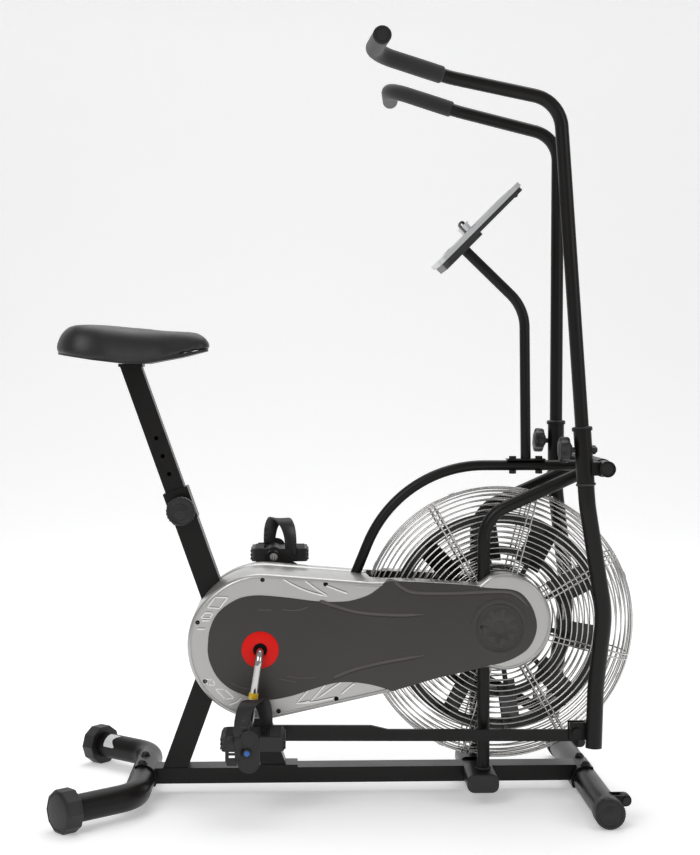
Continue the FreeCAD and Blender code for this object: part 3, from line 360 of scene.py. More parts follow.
def finishes():
    """Every finish of the bike, by the record's slot names and a few of their own."""
    c = bpy.context.scene.bike_finishes
    return {
        "frame_black": surface("satin_powder_coat", c.paint, 0.36, grain_scale=1500, relief=0.00004,
                               rough_spread=0.05, Specular_IOR_Level=0.22, Coat_Weight=0.05,
                               Coat_Roughness=0.2),
        "end_cap": surface("moulded_black_plastic", (0.0075, 0.007, 0.007), 0.48, grain_scale=2200,
                           relief=0.00005, cloud_scale=14),
        "black_bolt": surface("black_oxide_steel", (0.028, 0.027, 0.027), 0.34, grain_scale=2600,
                              relief=0.00003, Metallic=0.7),
        "chrome": surface("chrome_plate", c.chrome, 0.11, grain_scale=800, relief=0.000004, spread=0.04,
                          rough_spread=0.05, cloud_scale=25, Metallic=1.0),
        "bearing_steel": surface("ground_bearing_steel", (0.5, 0.5, 0.5), 0.24, grain_scale=700,
                                 stretch=(1, 14, 1), relief=0.00001, spread=0.08, Metallic=1.0),
        "pulley_aluminium": surface("machined_aluminium", (0.46, 0.46, 0.465), 0.36, grain_scale=500,
                                    stretch=(1, 20, 1), relief=0.00002, spread=0.08, Metallic=1.0),
        "belt_rubber": surface("ribbed_belt_rubber", (0.018, 0.018, 0.018), 0.68, grain_scale=600,
                               stretch=(1, 3, 1), relief=0.00025),
        "silver_plastic": surface("metallic_silver_plastic", c.silver, 0.33, grain_scale=3200,
                                  relief=0.00002, spread=0.07, rough_spread=0.04, Metallic=0.72,
                                  Coat_Weight=0.3, Coat_Roughness=0.2),
        "panel_plastic": surface("dark_panel_plastic", c.panel, 0.43, grain_scale=2100, relief=0.00005,
                                 spread=0.1, rough_spread=0.05, Coat_Weight=0.12, Coat_Roughness=0.35),
        "red_plastic": surface("red_ring_plastic", c.accent, 0.32, grain_scale=1700, relief=0.00003,
                               spread=0.08, Specular_IOR_Level=0.2),
        "console_plastic": surface("console_back_plastic", (0.024, 0.024, 0.025), 0.46,
                                   grain_scale=2300, relief=0.00006),
        "console_silver": surface("console_bezel_plastic", (0.58, 0.585, 0.59), 0.36, grain_scale=2600,
                                  relief=0.00003, spread=0.05, Metallic=0.45),
        "screen_glass": surface("display_glass", (0.055, 0.07, 0.062), 0.09, grain_scale=300,
                                relief=0.000005, spread=0.05, rough_spread=0.03, Coat_Weight=1.0,
                                Coat_Roughness=0.03),
        "grip_foam": surface("closed_cell_foam", c.foam, 0.86, grain="cells", grain_scale=1100,
                             relief=0.00016, spread=0.25, Sheen_Weight=0.2, Sheen_Roughness=0.6),
        "saddle_vinyl": surface("grained_vinyl", c.vinyl, 0.42, grain="cells", grain_scale=900,
                                relief=0.00012, spread=0.18, rough_spread=0.06, Coat_Weight=0.1,
                                Coat_Roughness=0.4),
        "label_paper": surface("blank_label_film", c.label, 0.4, grain_scale=1200, relief=0.00002,
                               spread=0.03, cloud_scale=30),
        "band_plastic": surface("coloured_sleeve", c.band, 0.38, grain_scale=1500, relief=0.00003),
        "blue_plastic": surface("blue_button_plastic", (0.02, 0.12, 0.42), 0.36, grain_scale=1500,
                                relief=0.00003),
        "screw_steel": surface("blackened_screw", (0.0035, 0.0033, 0.0033), 0.45, grain_scale=2400,
                               relief=0.00003, Specular_IOR_Level=0.35),
        "weld_paint": surface("painted_weld_bead", c.paint, 0.4, grain_scale=420, relief=0.0006,
                              rough_spread=0.06, Coat_Weight=0.2, Coat_Roughness=0.25),
        "fan_steel": surface("painted_fan_sheet", (0.013, 0.0125, 0.012), 0.42, grain_scale=1600,
                             relief=0.00004),
        # Near-white rim-line colour: painted highlight on the moulded lines of the silver rims.
        "rim_painted_highlight": surface("silver_line_painted_highlight", (0.86, 0.85, 0.83), 0.42, grain_scale=2600,
                              relief=0.00001, Metallic=0.2),
        # Dark rim-line colour: painted shade, laid just above each rim line.
        "rim_painted_shade": surface("silver_line_painted_shade", (0.17, 0.165, 0.16), 0.6, grain_scale=2600,
                               relief=0.00001, Metallic=0.3),
        # Lighter panel-line colour: painted highlight on the raised lines of the dark panels.
        "panel_painted_highlight": surface("panel_line_painted_highlight", (0.075, 0.068, 0.062), 0.5, grain_scale=2200,
                              relief=0.00003),
        # Near-black, low-gloss colour: painted shade in the hole round the crank shaft, also used as the
        # cover screws' black.
        "shaft_shade_and_screw_black": surface("shaft_painted_shade_and_screw_black", (0.0015, 0.0012, 0.0016), 0.55, grain_scale=2200,
                              relief=0.00001, Specular_IOR_Level=0.15),
        # Dark line colour: painted shade under each panel line; the strap slots use it as well.
        "panel_painted_shade_and_slot": surface("shadowed_panel_line", (0.022, 0.019, 0.018), 0.55, grain_scale=2000,
                              relief=0.00003),
    }


def on_left_arm(points):
    """Points of the right arm made again for the left: mirrored, then turned about the pivot."""
    turn = math.radians(3.98617)
    p = np.asarray(points, float) * (1, -1, 1)
    x, z = p[..., 0] - PIVOT[0], p[..., 2] - PIVOT[1]
    return np.stack(
        [PIVOT[0] + x * math.cos(turn) + z * math.sin(turn), p[..., 1],
         PIVOT[1] - x * math.sin(turn) + z * math.cos(turn)], -1)


def arm_place(side):
    """The move from the right arm's place to that of the arm on one side."""
    return np.asarray if side == RIGHT else on_left_arm


# Covers ------------------------------------------------------------------------------


def arc(centre, radius, start, end, count):
    """Points on a circle between two angles in degrees, x-z."""
    a = np.radians(np.linspace(start, end, count))
    return np.stack([centre[0] + radius * np.cos(a), centre[1] + radius * np.sin(a)], 1)


COVER_LOWER = [(76.8, 216.7), (166.6, 242.5), (257.7, 262.3)]
COVER_UPPER = [(240.0, 412.5), (194.0, 416.5), (122.0, 421.0), (62.0, 422.5)]



# The top is crowned: from CROWN_START outwards it falls by CROWN_DROP at the face, above
# the height CROWN_LOW and behind CROWN_FRONT.
CROWN_START, CROWN_DROP = 42.0, 5.0
CROWN_LOW, CROWN_FRONT = 360.0, 100.0


def cover_outline():
    """The cover's silhouette: round rear, tapering middle, and a round nose that stands proud."""
    run = np.concatenate([
        arc(REAR_ROUND, REAR_ROUND_RADIUS, 86, 283, 90), COVER_LOWER,
        arc(NOSE_ROUND, NOSE_ROUND_RADIUS, -92, 107, 60), COVER_UPPER,
    ])
    return resampled(np.concatenate([run, run[:1]]), 5.0)[:-1]


PANEL_OUTLINE = [
    (-268, 289), (-268, 305.7), (-265, 331.5), (-254, 358.4), (-234.8, 378.3), (-209.2, 392.6),
    (-183.5, 397.5), (-157.9, 397.2), (-113, 392.6), (-65, 386.4), (-32.8, 385), (-0.6, 387),
    (31.6, 397), (52, 410.5), (66, 422), (92, 421.8), (122, 420.8), (158, 418.6), (194, 416.3),
    (218, 414.1), (240, 412), (262, 409.5), (302, 406.5), (323.5, 397.5), (341.6, 374), (350.7, 345.1),
    (348.3, 319.8), (334.7, 294.7), (310.5, 277.6), (286.5, 268.2), (257.7, 262.3), (212, 251.9),
    (166.6, 242.2), (120, 229), (92, 221.1), (77, 217.3), (54.2, 224), (31.6, 229.5), (2.6, 233.1),
    (-23.2, 232.8), (-49, 227.6), (-81, 217.6), (-113.3, 207.6), (-148.6, 201.4), (-177.5, 203.2),
    (-209.6, 213.7), (-232, 226), (-251, 245), (-263.5, 269.5),
]

# Raised lines and lozenges on the silver rims, as closed outlines or runs of points.
LOZENGES = [
    [(-254.4, 394.8), (-230.5, 394), (-246.3, 373.7), (-268.8, 375.1)],
    [(-274, 365.6), (-258.5, 365.1), (-263.9, 354.5), (-280.3, 355.4)],
    [(-254.4, 222.2), (-236.7, 220.8), (-219.1, 204.6), (-235.4, 202.7)],
    [(-274.8, 241.1), (-258.5, 239), (-254.4, 229.6), (-268, 229.6)],
    [(-46.3, 230.8), (-74.9, 224.1), (-102.9, 193), (-74.9, 197.8)],
]
RIM_LINES = [
    [(-278.9, 350.6), (-263.9, 350.6)], [(-287.6, 335), (-272.1, 335)],
    [(-128.8, 429.2), (-104, 415), (-76, 403.5), (-43.6, 394.8)],
    [(-85.8, 425.1), (-66, 410), (-43.6, 395.9)], [(-47.7, 416), (-26, 407.5), (-5.5, 400.2)],
    [(-17.8, 233.5), (-40, 219), (-61.3, 203.2)], [(6.7, 230.8), (-6, 221), (-19.2, 209.2)],
    [(-102.9, 193), (-66, 196.5), (-27, 204.5)], [(-228, 192), (-214, 197), (-205, 206)],
]
PANEL_LINES = [
    [(-58.5, 386.8), (-32.8, 378.6), (15.5, 365.4), (79.9, 360.2), (136.4, 360.9)],
    [(-32.8, 242.8), (9.1, 258.7), (63.9, 271.3), (138.1, 283.8)],
    [(82.9, 422), (97.2, 411), (122.3, 402), (194, 400.6), (283.9, 403), (312.7, 395.7), (334.4, 374)],
]
COVER_SCREWS = [(-165.5, 427.2), (-47.2, 418.6), (-287, 347.6), (-273.4, 236.8), (-135.8, 179.5),
                (-27.4, 202)]
PLUG_SCREW = (247.8, 336.4)
FAINT_LINES = [
    [(-175, 371), (-163, 370.6), (-148, 370.8)], [(-129, 371.6), (-112, 369.8), (-96, 371), (-78, 377)],
    [(-135, 241), (-118, 237.5), (-103, 234.6)], [(-119, 245), (-92, 242), (-63, 243)],
    [(-226, 235), (-205, 225), (-176, 219.5)],
]


def cover_skirt(outline):
    """How far in from the face a cover's side reaches: less where the cage stands inside it."""
    near_cage = np.hypot(outline[:, 0] - FAN[0], outline[:, 1] - FAN[1]) < CAGE_RADIUS + CAGE_MARGIN
    return np.where(near_cage, CAGE_SKIRT, COVER_INNER)


def covers():
    """Silver shells and dark panels of both sides."""
    sizes, coats = bpy.context.scene.bike_sizes, finishes()
    outline = cover_outline()
    skirt = cover_skirt(outline)
    reach = sizes.cover_round / MM
    height = (np.clip((outline[:, 1] - CROWN_LOW) / 50.0, 0, 1)
              * np.clip((CROWN_FRONT - outline[:, 0]) / 60.0, 0, 1))
    crown = CROWN_DROP * height[:, None]
    for side in (RIGHT, LEFT):
        name = SIDE_NAME[side]
        shell = Mould()
        steps = [(0.0, skirt), (0.0, np.maximum(skirt, CROWN_START))]
        for share in (0.25, 0.5, 0.75):
            y = CROWN_START + (COVER_FACE - 6.0 - CROWN_START) * share
            steps.append((crown * share**2, np.maximum(skirt + share, y)))
        rim = rounded_edge(COVER_FACE - 6.0, COVER_FACE, reach, 5.5, 9)[1:]
        steps += [(crown + move, y) for move, y in rim]
        rings = plate_rings(outline, steps, side)
        shell.skin(rings, ends=False)
        shell.faces.append((np.arange(len(outline)) + (len(rings) - 1) * len(outline)).tolist())
        piece = shell.make(f"{name}_cover_shell", "frame", "silver_plastic", coats["silver_plastic"],
                           [f"{name}_case_shell"], smooth=28, outward=False)
        face_outward(piece, side)
        wall = piece.modifiers.new("wall", "SOLIDIFY")
        wall.thickness, wall.offset = 0.0025, -1.0
        panel = Mould()
        edge = closed_curve(PANEL_OUTLINE, 400)
        near = np.linalg.norm(edge[:, None] - outline[None], axis=2).min(1) < 4.0
        near &= (edge[:, 0] > 66) & (edge[:, 0] < 252)
        wraps = near.astype(float)
        for _soften in range(3):
            wraps = (np.roll(wraps, 1) + wraps + np.roll(wraps, -1)) / 3
        edge = inset(edge, -1.4 * wraps[:, None])
        foot = np.where(near, cover_skirt(edge), COVER_FACE - 1.0)
        steps = rounded_edge(foot, PANEL_FACE, sizes.panel_round / MM, 2.0)
        panel.skin(plate_rings(edge, steps, side))
        panel.make(f"{name}_cover_panel", "frame", "panel_plastic", coats["panel_plastic"],
                   [f"{name}_case_panel"], smooth=28)


def face_outward(piece, side):
    """Turns an open shell's faces so that the largest one looks away from the bike's middle."""
    mesh = piece.data
    largest = max(mesh.polygons, key=lambda f: f.area)
    if largest.normal.y * side < 0:
        mesh.flip_normals()


def bead(mould, run, y, half_width, side, proud=0.5):
    """A low rounded line on a cover: an ellipse carried along a run of x-z points."""
    run = np.asarray(run, float)
    if len(run) > 2:
        t = np.linspace(0, len(run) - 1, 12 * len(run))
        i = np.clip(np.floor(t).astype(int), 0, len(run) - 2)
        p = np.concatenate([[2 * run[0] - run[1]], run, [2 * run[-1] - run[-2]]])
        smooth = catmull_rom([p[i + k] for k in range(4)], (t - i)[:, None])
    else:
        smooth = resampled(run, 3.0)
    n = len(smooth)
    path = np.stack([smooth[:, 0], np.full(n, side * y), smooth[:, 1]], 1)
    taper = half_width * np.clip(np.sin(np.linspace(0.06, 1, n) * np.pi) * 3, 0.25, 1)
    rings = sweep(path, taper, 10, (0, 1, 0))
    rings[..., 1] = side * y + (rings[..., 1] - side * y) * (proud / half_width)
    mould.skin(rings)


def cover_details():
    """Moulded lines, plug covers, red rings, shaft seals and screws on both covers, with painted highlight
    and painted shade on the lines and painted shade in the shaft seals.
    """
    sizes, coats = bpy.context.scene.bike_sizes, finishes()
    half = sizes.bead / MM
    for side in (RIGHT, LEFT):
        name = SIDE_NAME[side]
        # Each rim line is drawn near-white as painted highlight, with a thinner dark copy just above it as
        # painted shade.
        light, dark = Mould(), Mould()
        for points in LOZENGES:
            for run in zip(points, points[1:] + points[:1]):
                bead(light, list(run), COVER_FACE, half, side, 0.9)
                bead(dark, (np.array(run) + (0, 2.1)).tolist(), COVER_FACE, half * 0.5, side, 0.5)
        for run in RIM_LINES:
            bead(light, run, COVER_FACE, half * 1.1, side, 1.2)
            bead(dark, (np.array(run) + (0, 2.2)).tolist(), COVER_FACE, half * 0.7, side, 0.7)
        light.make(f"{name}_rim_lines", "frame", "silver_plastic", coats["rim_painted_highlight"])
        dark.make(f"{name}_rim_shadow_lines", "frame", "silver_plastic", coats["rim_painted_shade"])
        # Panel lines are drawn in a lighter colour than the panel, as painted highlight.
        lines = Mould()
        for run in PANEL_LINES:
            bead(lines, run, PANEL_FACE, half * 2.2, side, 1.8)
        for run in FAINT_LINES:
            bead(lines, run, PANEL_FACE, half * 0.8, side, 0.8)
        lines.make(f"{name}_panel_lines", "frame", "panel_plastic", coats["panel_painted_highlight"])
        # A dark bead just below each panel line is painted shade.
        shadow = Mould()
        for run in PANEL_LINES:
            lower = np.asarray(run, float) - (0, 4.2)
            bead(shadow, lower.tolist(), PANEL_FACE, half * 1.0, side, 0.35)
        shadow.make(f"{name}_panel_shadow_lines", "frame", "panel_plastic", coats["panel_painted_shade_and_slot"])

        out = (0, side, 0)
        plug_at = (PLUG[0], side * PANEL_FACE, PLUG[1])
        plug = Mould()
        plug.skin(turned([(0, -1), (43.5, -1), (43.5, 1.0), (42.6, 1.7), (40.6, 1.7), (40, 1.0), (36.5, 1.0),
                          (35.9, 1.6), (16, 2.0), (15, 1.4), (12, 1.4), (11.2, 2.0), (0.01, 2.2)],
                         plug_at, out, 72))
        for k in range(8):
            a = math.radians(45 * k + 10)
            along, across = np.array([math.cos(a), math.sin(a)]), np.array([-math.sin(a), math.cos(a)])
            centre = np.asarray(PLUG)
            petal = [centre + along * r + across * w for r, w in ((19, -4), (33, -8.5), (33, 8.5), (19, 4))]
            steps = rounded_edge(PANEL_FACE, PANEL_FACE + 2.6, 0.8, 0.7, 4)
            plug.skin(plate_rings(rounded_polygon(petal, 3.0), steps, side))
        plug.skin(turned([(44.8, -1), (44.8, 0.5), (45.6, 0.9), (53, 0.9), (54.6, 0.4), (55, -1)],
                         plug_at, out, 72), ends=False)
        plug.make(f"{name}_plug_cover", "frame", "panel_plastic", coats["panel_plastic"],
                  ["fan_plug_covers"])

        hub_at = (CRANK[0], side * PANEL_FACE, CRANK[1])
        ring = Mould()
        ring.skin(turned([(12, -6), (12, 1.6), (13.2, 2.6), (15, 2.9), (31.5, 2.4), (34.2, 1.6), (35.0, 0.4),
                          (35.0, -1), (30, -1), (30, -6), (12, -6)], hub_at, out, 96), ends=False)
        ring.make(f"{name}_shaft_ring", "frame", "red_plastic", coats["red_plastic"], ["crank_hub_rings"])
        # The seal's near-black, low-gloss colour is painted shade of the hole round the shaft.
        seal = Mould()
        seal.skin(turned([(7.0, -6), (13.0, -6), (13.0, 3.2), (12.0, 3.6), (9.6, 2.4), (7.0, 2.0), (7.0, -6)],
                         hub_at, out, 48), ends=False)
        seal.make(f"{name}_shaft_seal", "frame", "end_cap", coats["shaft_shade_and_screw_black"])

        screws = Mould()
        radius = sizes.screw / MM
        for x, z in COVER_SCREWS:
            screw_head(screws, (x, side * (COVER_FACE - 0.5), z), out, radius)
        screw_head(screws, (PLUG_SCREW[0], side * PANEL_FACE, PLUG_SCREW[1]), out, radius)
        screws.make(f"{name}_cover_screws", "frame", "black_bolt", coats["shaft_shade_and_screw_black"], ["case_screws"],
                    smooth=50)


def screw_head(mould, centre, axis, radius):
    """A pan head with a cross recess.

    Height over the head is 2 (1 - (r/R)^4) less a cross that is deepest along two lines."""
    share = np.array([1.0, 1.0, 0.93, 0.8, 0.66, 0.5, 0.34, 0.18, 0.001])
    height = np.concatenate([[-1.0], 2.2 * (1 - share[1:] ** 4)])
    grid = turned(np.stack([share * radius, height], 1), centre, axis, 32)
    v = np.linspace(0, 2 * np.pi, 32, endpoint=False) + 0.4
    cross = np.maximum(np.abs(np.cos(v)), np.abs(np.sin(v))) ** 40
    depth = 1.3 * cross[None, :] * (share < 0.6)[:, None] + 0.8 * (share < 0.2)[:, None]
    mould.skin(grid - depth[..., None] * unit(axis))


# Padding -----------------------------------------------------------------------------

SADDLE_PLAN = [
    (-554.5, 0), (-551, -62), (-520, -104), (-470, -110), (-415, -84), (-360, -50), (-300, -36),
    (-274, -24), (-267, 0), (-274, 24), (-300, 36), (-360, 50), (-415, 84), (-470, 110), (-520, 104),
    (-551, 62),
]
SADDLE_TOP = [(-560, 905.5), (-516, 905), (-475, 904), (-417, 898.6), (-358, 896.3), (-306, 895), (-264, 892)]
SADDLE_FOOT = [(-556, 860), (-551.7, 852), (-499, 839.8), (-446.6, 836.3), (-429, 831.8), (-391, 831.2),
               (-344, 842.8), (-300, 854.6), (-276.6, 857.6), (-264, 862)]
SADDLE_ROUND = 38.0


def saddle_surface(rings=30, around=170):
    """The pad over the saddle's plan.

    Rings are the plan drawn in towards its middle. With d the distance from a point to the
    plan's edge, the top stands at foot + (top - foot) sqrt(1 - (1 - d/R)^2), which rounds over
    within R of the edge, less a shallow hollow along the middle. Below, the skin turns under
    by a few millimetres and runs in flat, a little above the base's underside."""
    plan = closed_curve(SADDLE_PLAN, around)
    r = (np.sin(np.linspace(0.01, np.pi / 2, rings)) ** 0.9)[:, None]
    middle = -425.0
    x, y = middle + (plan[None, :, 0] - middle) * r, plan[None, :, 1] * r
    edge = closed_curve(SADDLE_PLAN, 400)
    gap = np.hypot(x[..., None] - edge[:, 0], y[..., None] - edge[:, 1]).min(-1)
    gap = np.where(r > 0.999, 0.0, gap)
    share = np.clip(gap / SADDLE_ROUND, 0, 1)
    top = np.interp(x, *zip(*SADDLE_TOP))
    foot = np.interp(x, *zip(*SADDLE_FOOT)) + 2.0
    upper = foot + (top - foot) * np.sqrt(1 - (1 - share) ** 2)
    upper -= 2.0 * np.exp(-((y / 12.0) ** 2)) * share**2
    rows = [np.stack([x, y, upper], -1)]
    for share_in, rise in ((0.992, 2.2), (0.975, 0.4), (0.95, 0.0), (0.92, 0.6), (0.9, 5.0), (0.6, 6.0),
                           (0.3, 6.0), (0.01, 6.0)):
        px, py = middle + (plan[:, 0] - middle) * share_in, plan[:, 1] * share_in
        rows.append(np.stack([px, py, np.interp(px, *zip(*SADDLE_FOOT)) + rise], -1)[None])
    return np.concatenate(rows)


def plump(piece, pressure, cap, still_below):
    """Remeshes a pad finely, inflates it as cloth under a little pressure, and keeps the result.

    Points below the given height are held, and none moves further than the cap."""
    for o in bpy.context.selected_objects:
        o.select_set(False)
    bpy.context.view_layer.objects.active = piece
    piece.select_set(True)
    grain = piece.modifiers.new("remesh", "REMESH")
    grain.mode, grain.voxel_size = "VOXEL", 0.005
    bpy.ops.object.modifier_apply(modifier=grain.name)
    mesh = piece.data
    rest = np.zeros(len(mesh.vertices) * 3, np.float32)
    mesh.vertices.foreach_get("co", rest)
    rest = rest.reshape(-1, 3)
    held = piece.vertex_groups.new(name="held")
    held.add(np.nonzero(rest[:, 2] < still_below)[0].tolist(), 1.0, "REPLACE")
    cloth = piece.modifiers.new("cloth", "CLOTH")
    cloth.settings.quality = 5
    cloth.settings.use_pressure = True
    cloth.settings.uniform_pressure_force = pressure
    cloth.settings.tension_stiffness = cloth.settings.compression_stiffness = 40
    cloth.settings.bending_stiffness = 6
    cloth.settings.vertex_group_mass = held.name
    cloth.settings.effector_weights.gravity = 0.0
    scene = bpy.context.scene
    for step in range(1, 21):
        scene.frame_set(step)
    moved = piece.evaluated_get(bpy.context.evaluated_depsgraph_get()).data
    now = np.zeros(len(moved.vertices) * 3, np.float32)
    moved.vertices.foreach_get("co", now)
    shift = now.reshape(-1, 3) - rest
    far = np.maximum(np.linalg.norm(shift, axis=1, keepdims=True), 1e-9)
    shift *= np.minimum(1.0, cap / far)
    piece.modifiers.remove(cloth)
    scene.frame_set(1)
    mesh.vertices.foreach_set("co", (rest + shift).astype(np.float32).ravel())
    piece.vertex_groups.clear()
    mesh.shade_smooth()
    mesh.update()


def saddle():
    """The padded saddle, whose cover turns under the base."""
    sizes, coats = bpy.context.scene.bike_sizes, finishes()
    pad = Mould().skin(saddle_surface(), ends=False)
    piece = pad.make("saddle_cushion", "seat", "saddle_vinyl", coats["saddle_vinyl"], ["saddle_pad"])
    plump(piece, 2.0, sizes.saddle_swell, 0.866)
    smooth = piece.modifiers.new("smooth", "SMOOTH")
    smooth.factor, smooth.iterations = 0.5, 6
    finer = piece.modifiers.new("finer", "SUBSURF")
    finer.levels = finer.render_levels = 1


HANDLE_CORNER = np.array([381.5, -150.0, 1312.0])
SOCKET_BOTTOM = np.array([430.7, -160.3, 608.0])
HANDLE_AXIS = unit(HANDLE_CORNER - SOCKET_BOTTOM)
LEFT_DROP = 24.0
GRIP_START, GRIP_BEND, GRIP_END = (175.5, -165, 1351), (34.5, -190, 1390), (45.5, -328, 1391)
GRIP_RADIUS = 16.0

# Profiles are (radius, height) pairs.
GRIP_PLUG_PROFILE = [(0.01, -1), (13.9, -1), (15.9, 0.2), (16.1, 1.6), (15.3, 2.8), (12.6, 2.9), (11.8, 1.6),
                     (10.5, 1.4), (9.6, 2.2), (0.01, 2.6)]
SOCKET_LIP_PROFILE = [(13.0, 0.0), (18.6, 0.0), (19.2, 0.8), (19.2, 1.8), (17.6, 3.4), (13.4, 4.2),
                      (13.0, 3.4)]


def grips():
    """Foam sleeves on both handlebars, each closed by a plug in a recessed ring."""
    coats = finishes()
    start, bend, end = (np.array(p) for p in (GRIP_START, GRIP_BEND, GRIP_END))
    start = start + unit(bend - start) * 12.0
    path = resampled(rounded_run([start, bend, end], [46], 24), 3.0)
    along = np.concatenate([[0], np.cumsum(np.linalg.norm(np.diff(path, axis=0), axis=1))])
    total = along[-1]
    from_end = np.minimum(along, total - along)
    radius = GRIP_RADIUS - 2.2 * (1 - np.sqrt(np.clip(1 - (1 - np.clip(from_end / 3.0, 0, 1)) ** 2, 0, 1)))
    radius += 0.12 * np.sin(along / 23.0) * np.clip(from_end / 20.0, 0, 1)
    out = unit(end - bend)
    for side in (RIGHT, LEFT):
        name = SIDE_NAME[side]
        place = (lambda p: p) if side == RIGHT else (lambda p: on_left_arm(p - HANDLE_AXIS * LEFT_DROP))
        body = f"{name}_handle"
        foam = Mould().skin(place(sweep(path, radius, 28)))
        piece = foam.make(f"{name}_foam_grip", body, "grip_foam", coats["grip_foam"], [f"{name}_grip"])
        plug = Mould().skin(place(turned(GRIP_PLUG_PROFILE, end, out, 40)))
        plug.make(f"{name}_grip_plug", body, "end_cap", coats["end_cap"])
        collar_at = SOCKET_BOTTOM + HANDLE_AXIS * 104.0
        lip = turned(SOCKET_LIP_PROFILE, collar_at, HANDLE_AXIS, 40)
        collar = Mould().skin(arm_place(side)(lip), ends=False)
        collar.make(f"{name}_socket_lip", f"{name}_swing", "end_cap", coats["end_cap"])


# Cage --------------------------------------------------------------------------------


def cages():
    """Chrome wires of both cage halves: rings over a rolled face, and paired spokes."""
    coats = finishes()
    wire, spoke_wire, shoulder, half_width = 1.5, 1.7, 40.0, 48.0
    flat = CAGE_RADIUS - shoulder
    reach = np.arange(74.0, flat + shoulder * np.pi / 2 + 6, 10.6)
    angle = np.clip((reach - flat) / shoulder, 0, np.pi / 2)
    radii = np.where(reach < flat, reach, flat + shoulder * np.sin(angle))
    widths = np.where(reach < flat, half_width, half_width - shoulder * (1 - np.cos(angle)))
    widths = np.where(reach > flat + shoulder * np.pi / 2, 3.0, widths)
    v = np.linspace(0, 2 * np.pi, 144, endpoint=False)[:, None]
    w = np.linspace(0, 2 * np.pi, 8, endpoint=False)[None, :]
    for side in (RIGHT, LEFT):
        name = SIDE_NAME[side]
        cage = Mould()
        for radius, y in zip(radii, widths):
            r = radius + wire * np.cos(w)
            cage.skin(np.stack([FAN[0] + r * np.cos(v), side * (y + wire * np.sin(w)) + 0 * v,
                                FAN[1] + r * np.sin(v)], -1), wrap_u=True)
        corners = [(57.0, half_width + 1), (CAGE_RADIUS, half_width + 1), (CAGE_RADIUS, 4.0)]
        run = rounded_run(corners, [shoulder], 14)
        for k in range(8):
            a = math.radians(-(45 * k + 15))
            for shift in (-5.0, 5.0):
                x = run[:, 0] * math.cos(a) - shift * math.sin(a)
                z = run[:, 0] * math.sin(a) + shift * math.cos(a)
                path = np.stack([FAN[0] + x, side * run[:, 1], FAN[1] + z], 1)
                cage.skin(sweep(path, spoke_wire, 8, (-math.sin(a), 0, math.cos(a))))
        hub_at = (FAN[0], side * 47.0, FAN[1])
        cage.skin(turned([(26, 2.5), (54, 2.5), (54, 0), (62, 0), (62, 4.6), (61, 5.5), (27, 5.5), (26, 4.6),
                          (26, 2.5)], hub_at, (0, side, 0), 72), ends=False)
        cage.make(f"{name}_cage_wires", "frame", "chrome", coats["chrome"], [f"{name}_cage"], smooth=60)
    clips = Mould()
    for degrees in (20, 65, 110, 155, 200, 245, 290, 335):
        a = math.radians(degrees)
        across = np.array([-math.sin(a), 0, math.cos(a)])
        out = np.array([math.cos(a), 0, math.sin(a)])
        centre = np.array([FAN[0], 0, FAN[1]]) + (CAGE_RADIUS + 0.5) * out
        section = rounded_polygon([(-9, -2.2), (9, -2.2), (9, 2.6), (-9, 2.6)], 1.8)
        grid = (centre + section[None, :, :1] * np.array([0, 1.0, 0]) + section[None, :, 1:] * out
                + np.array([-6, 6])[:, None, None] * across)
        clips.skin(grid)
    clips.make("cage_rim_clips", "frame", "chrome", coats["chrome"])


# Feet, knobs and small hardware ----------------------------------------------------------

LEG_END = np.array([-521.0, 260.6, 38.0])
LEG_WAY = np.array([-math.sin(math.radians(50)), math.cos(math.radians(50)), 0.0])
TUBE_RADIUS = 25.0
CAP_FLAT, CAP_SIDES, CAP_OVERLAP = 38.0, 10, 26.0
CAP_SCREW_WAY = (0.643, 0.766, 0.75)
FRONT_CAP_FOOT = np.array([456.5, 243.0, 28.0])
FRONT_CAP_PROFILE = [(25.2, 0.0), (27.0, 0.0), (27.6, 0.8), (27.6, 30.5), (27.0, 32.8), (24.5, 34.0),
                     (22.0, 34.0), (21.2, 32.6), (20.4, 32.3), (13.5, 32.3), (12.7, 33.2), (0.01, 33.5)]
LABEL_WAY, LABEL_BACK, LABEL_HALF = np.array([0.3, -0.8, 0.45]), 60.0, (15.0, 33.0)


def mirrored(points):
    """Points moved to the rider's other side."""
    return np.asarray(points, float) * (1, -1, 1)


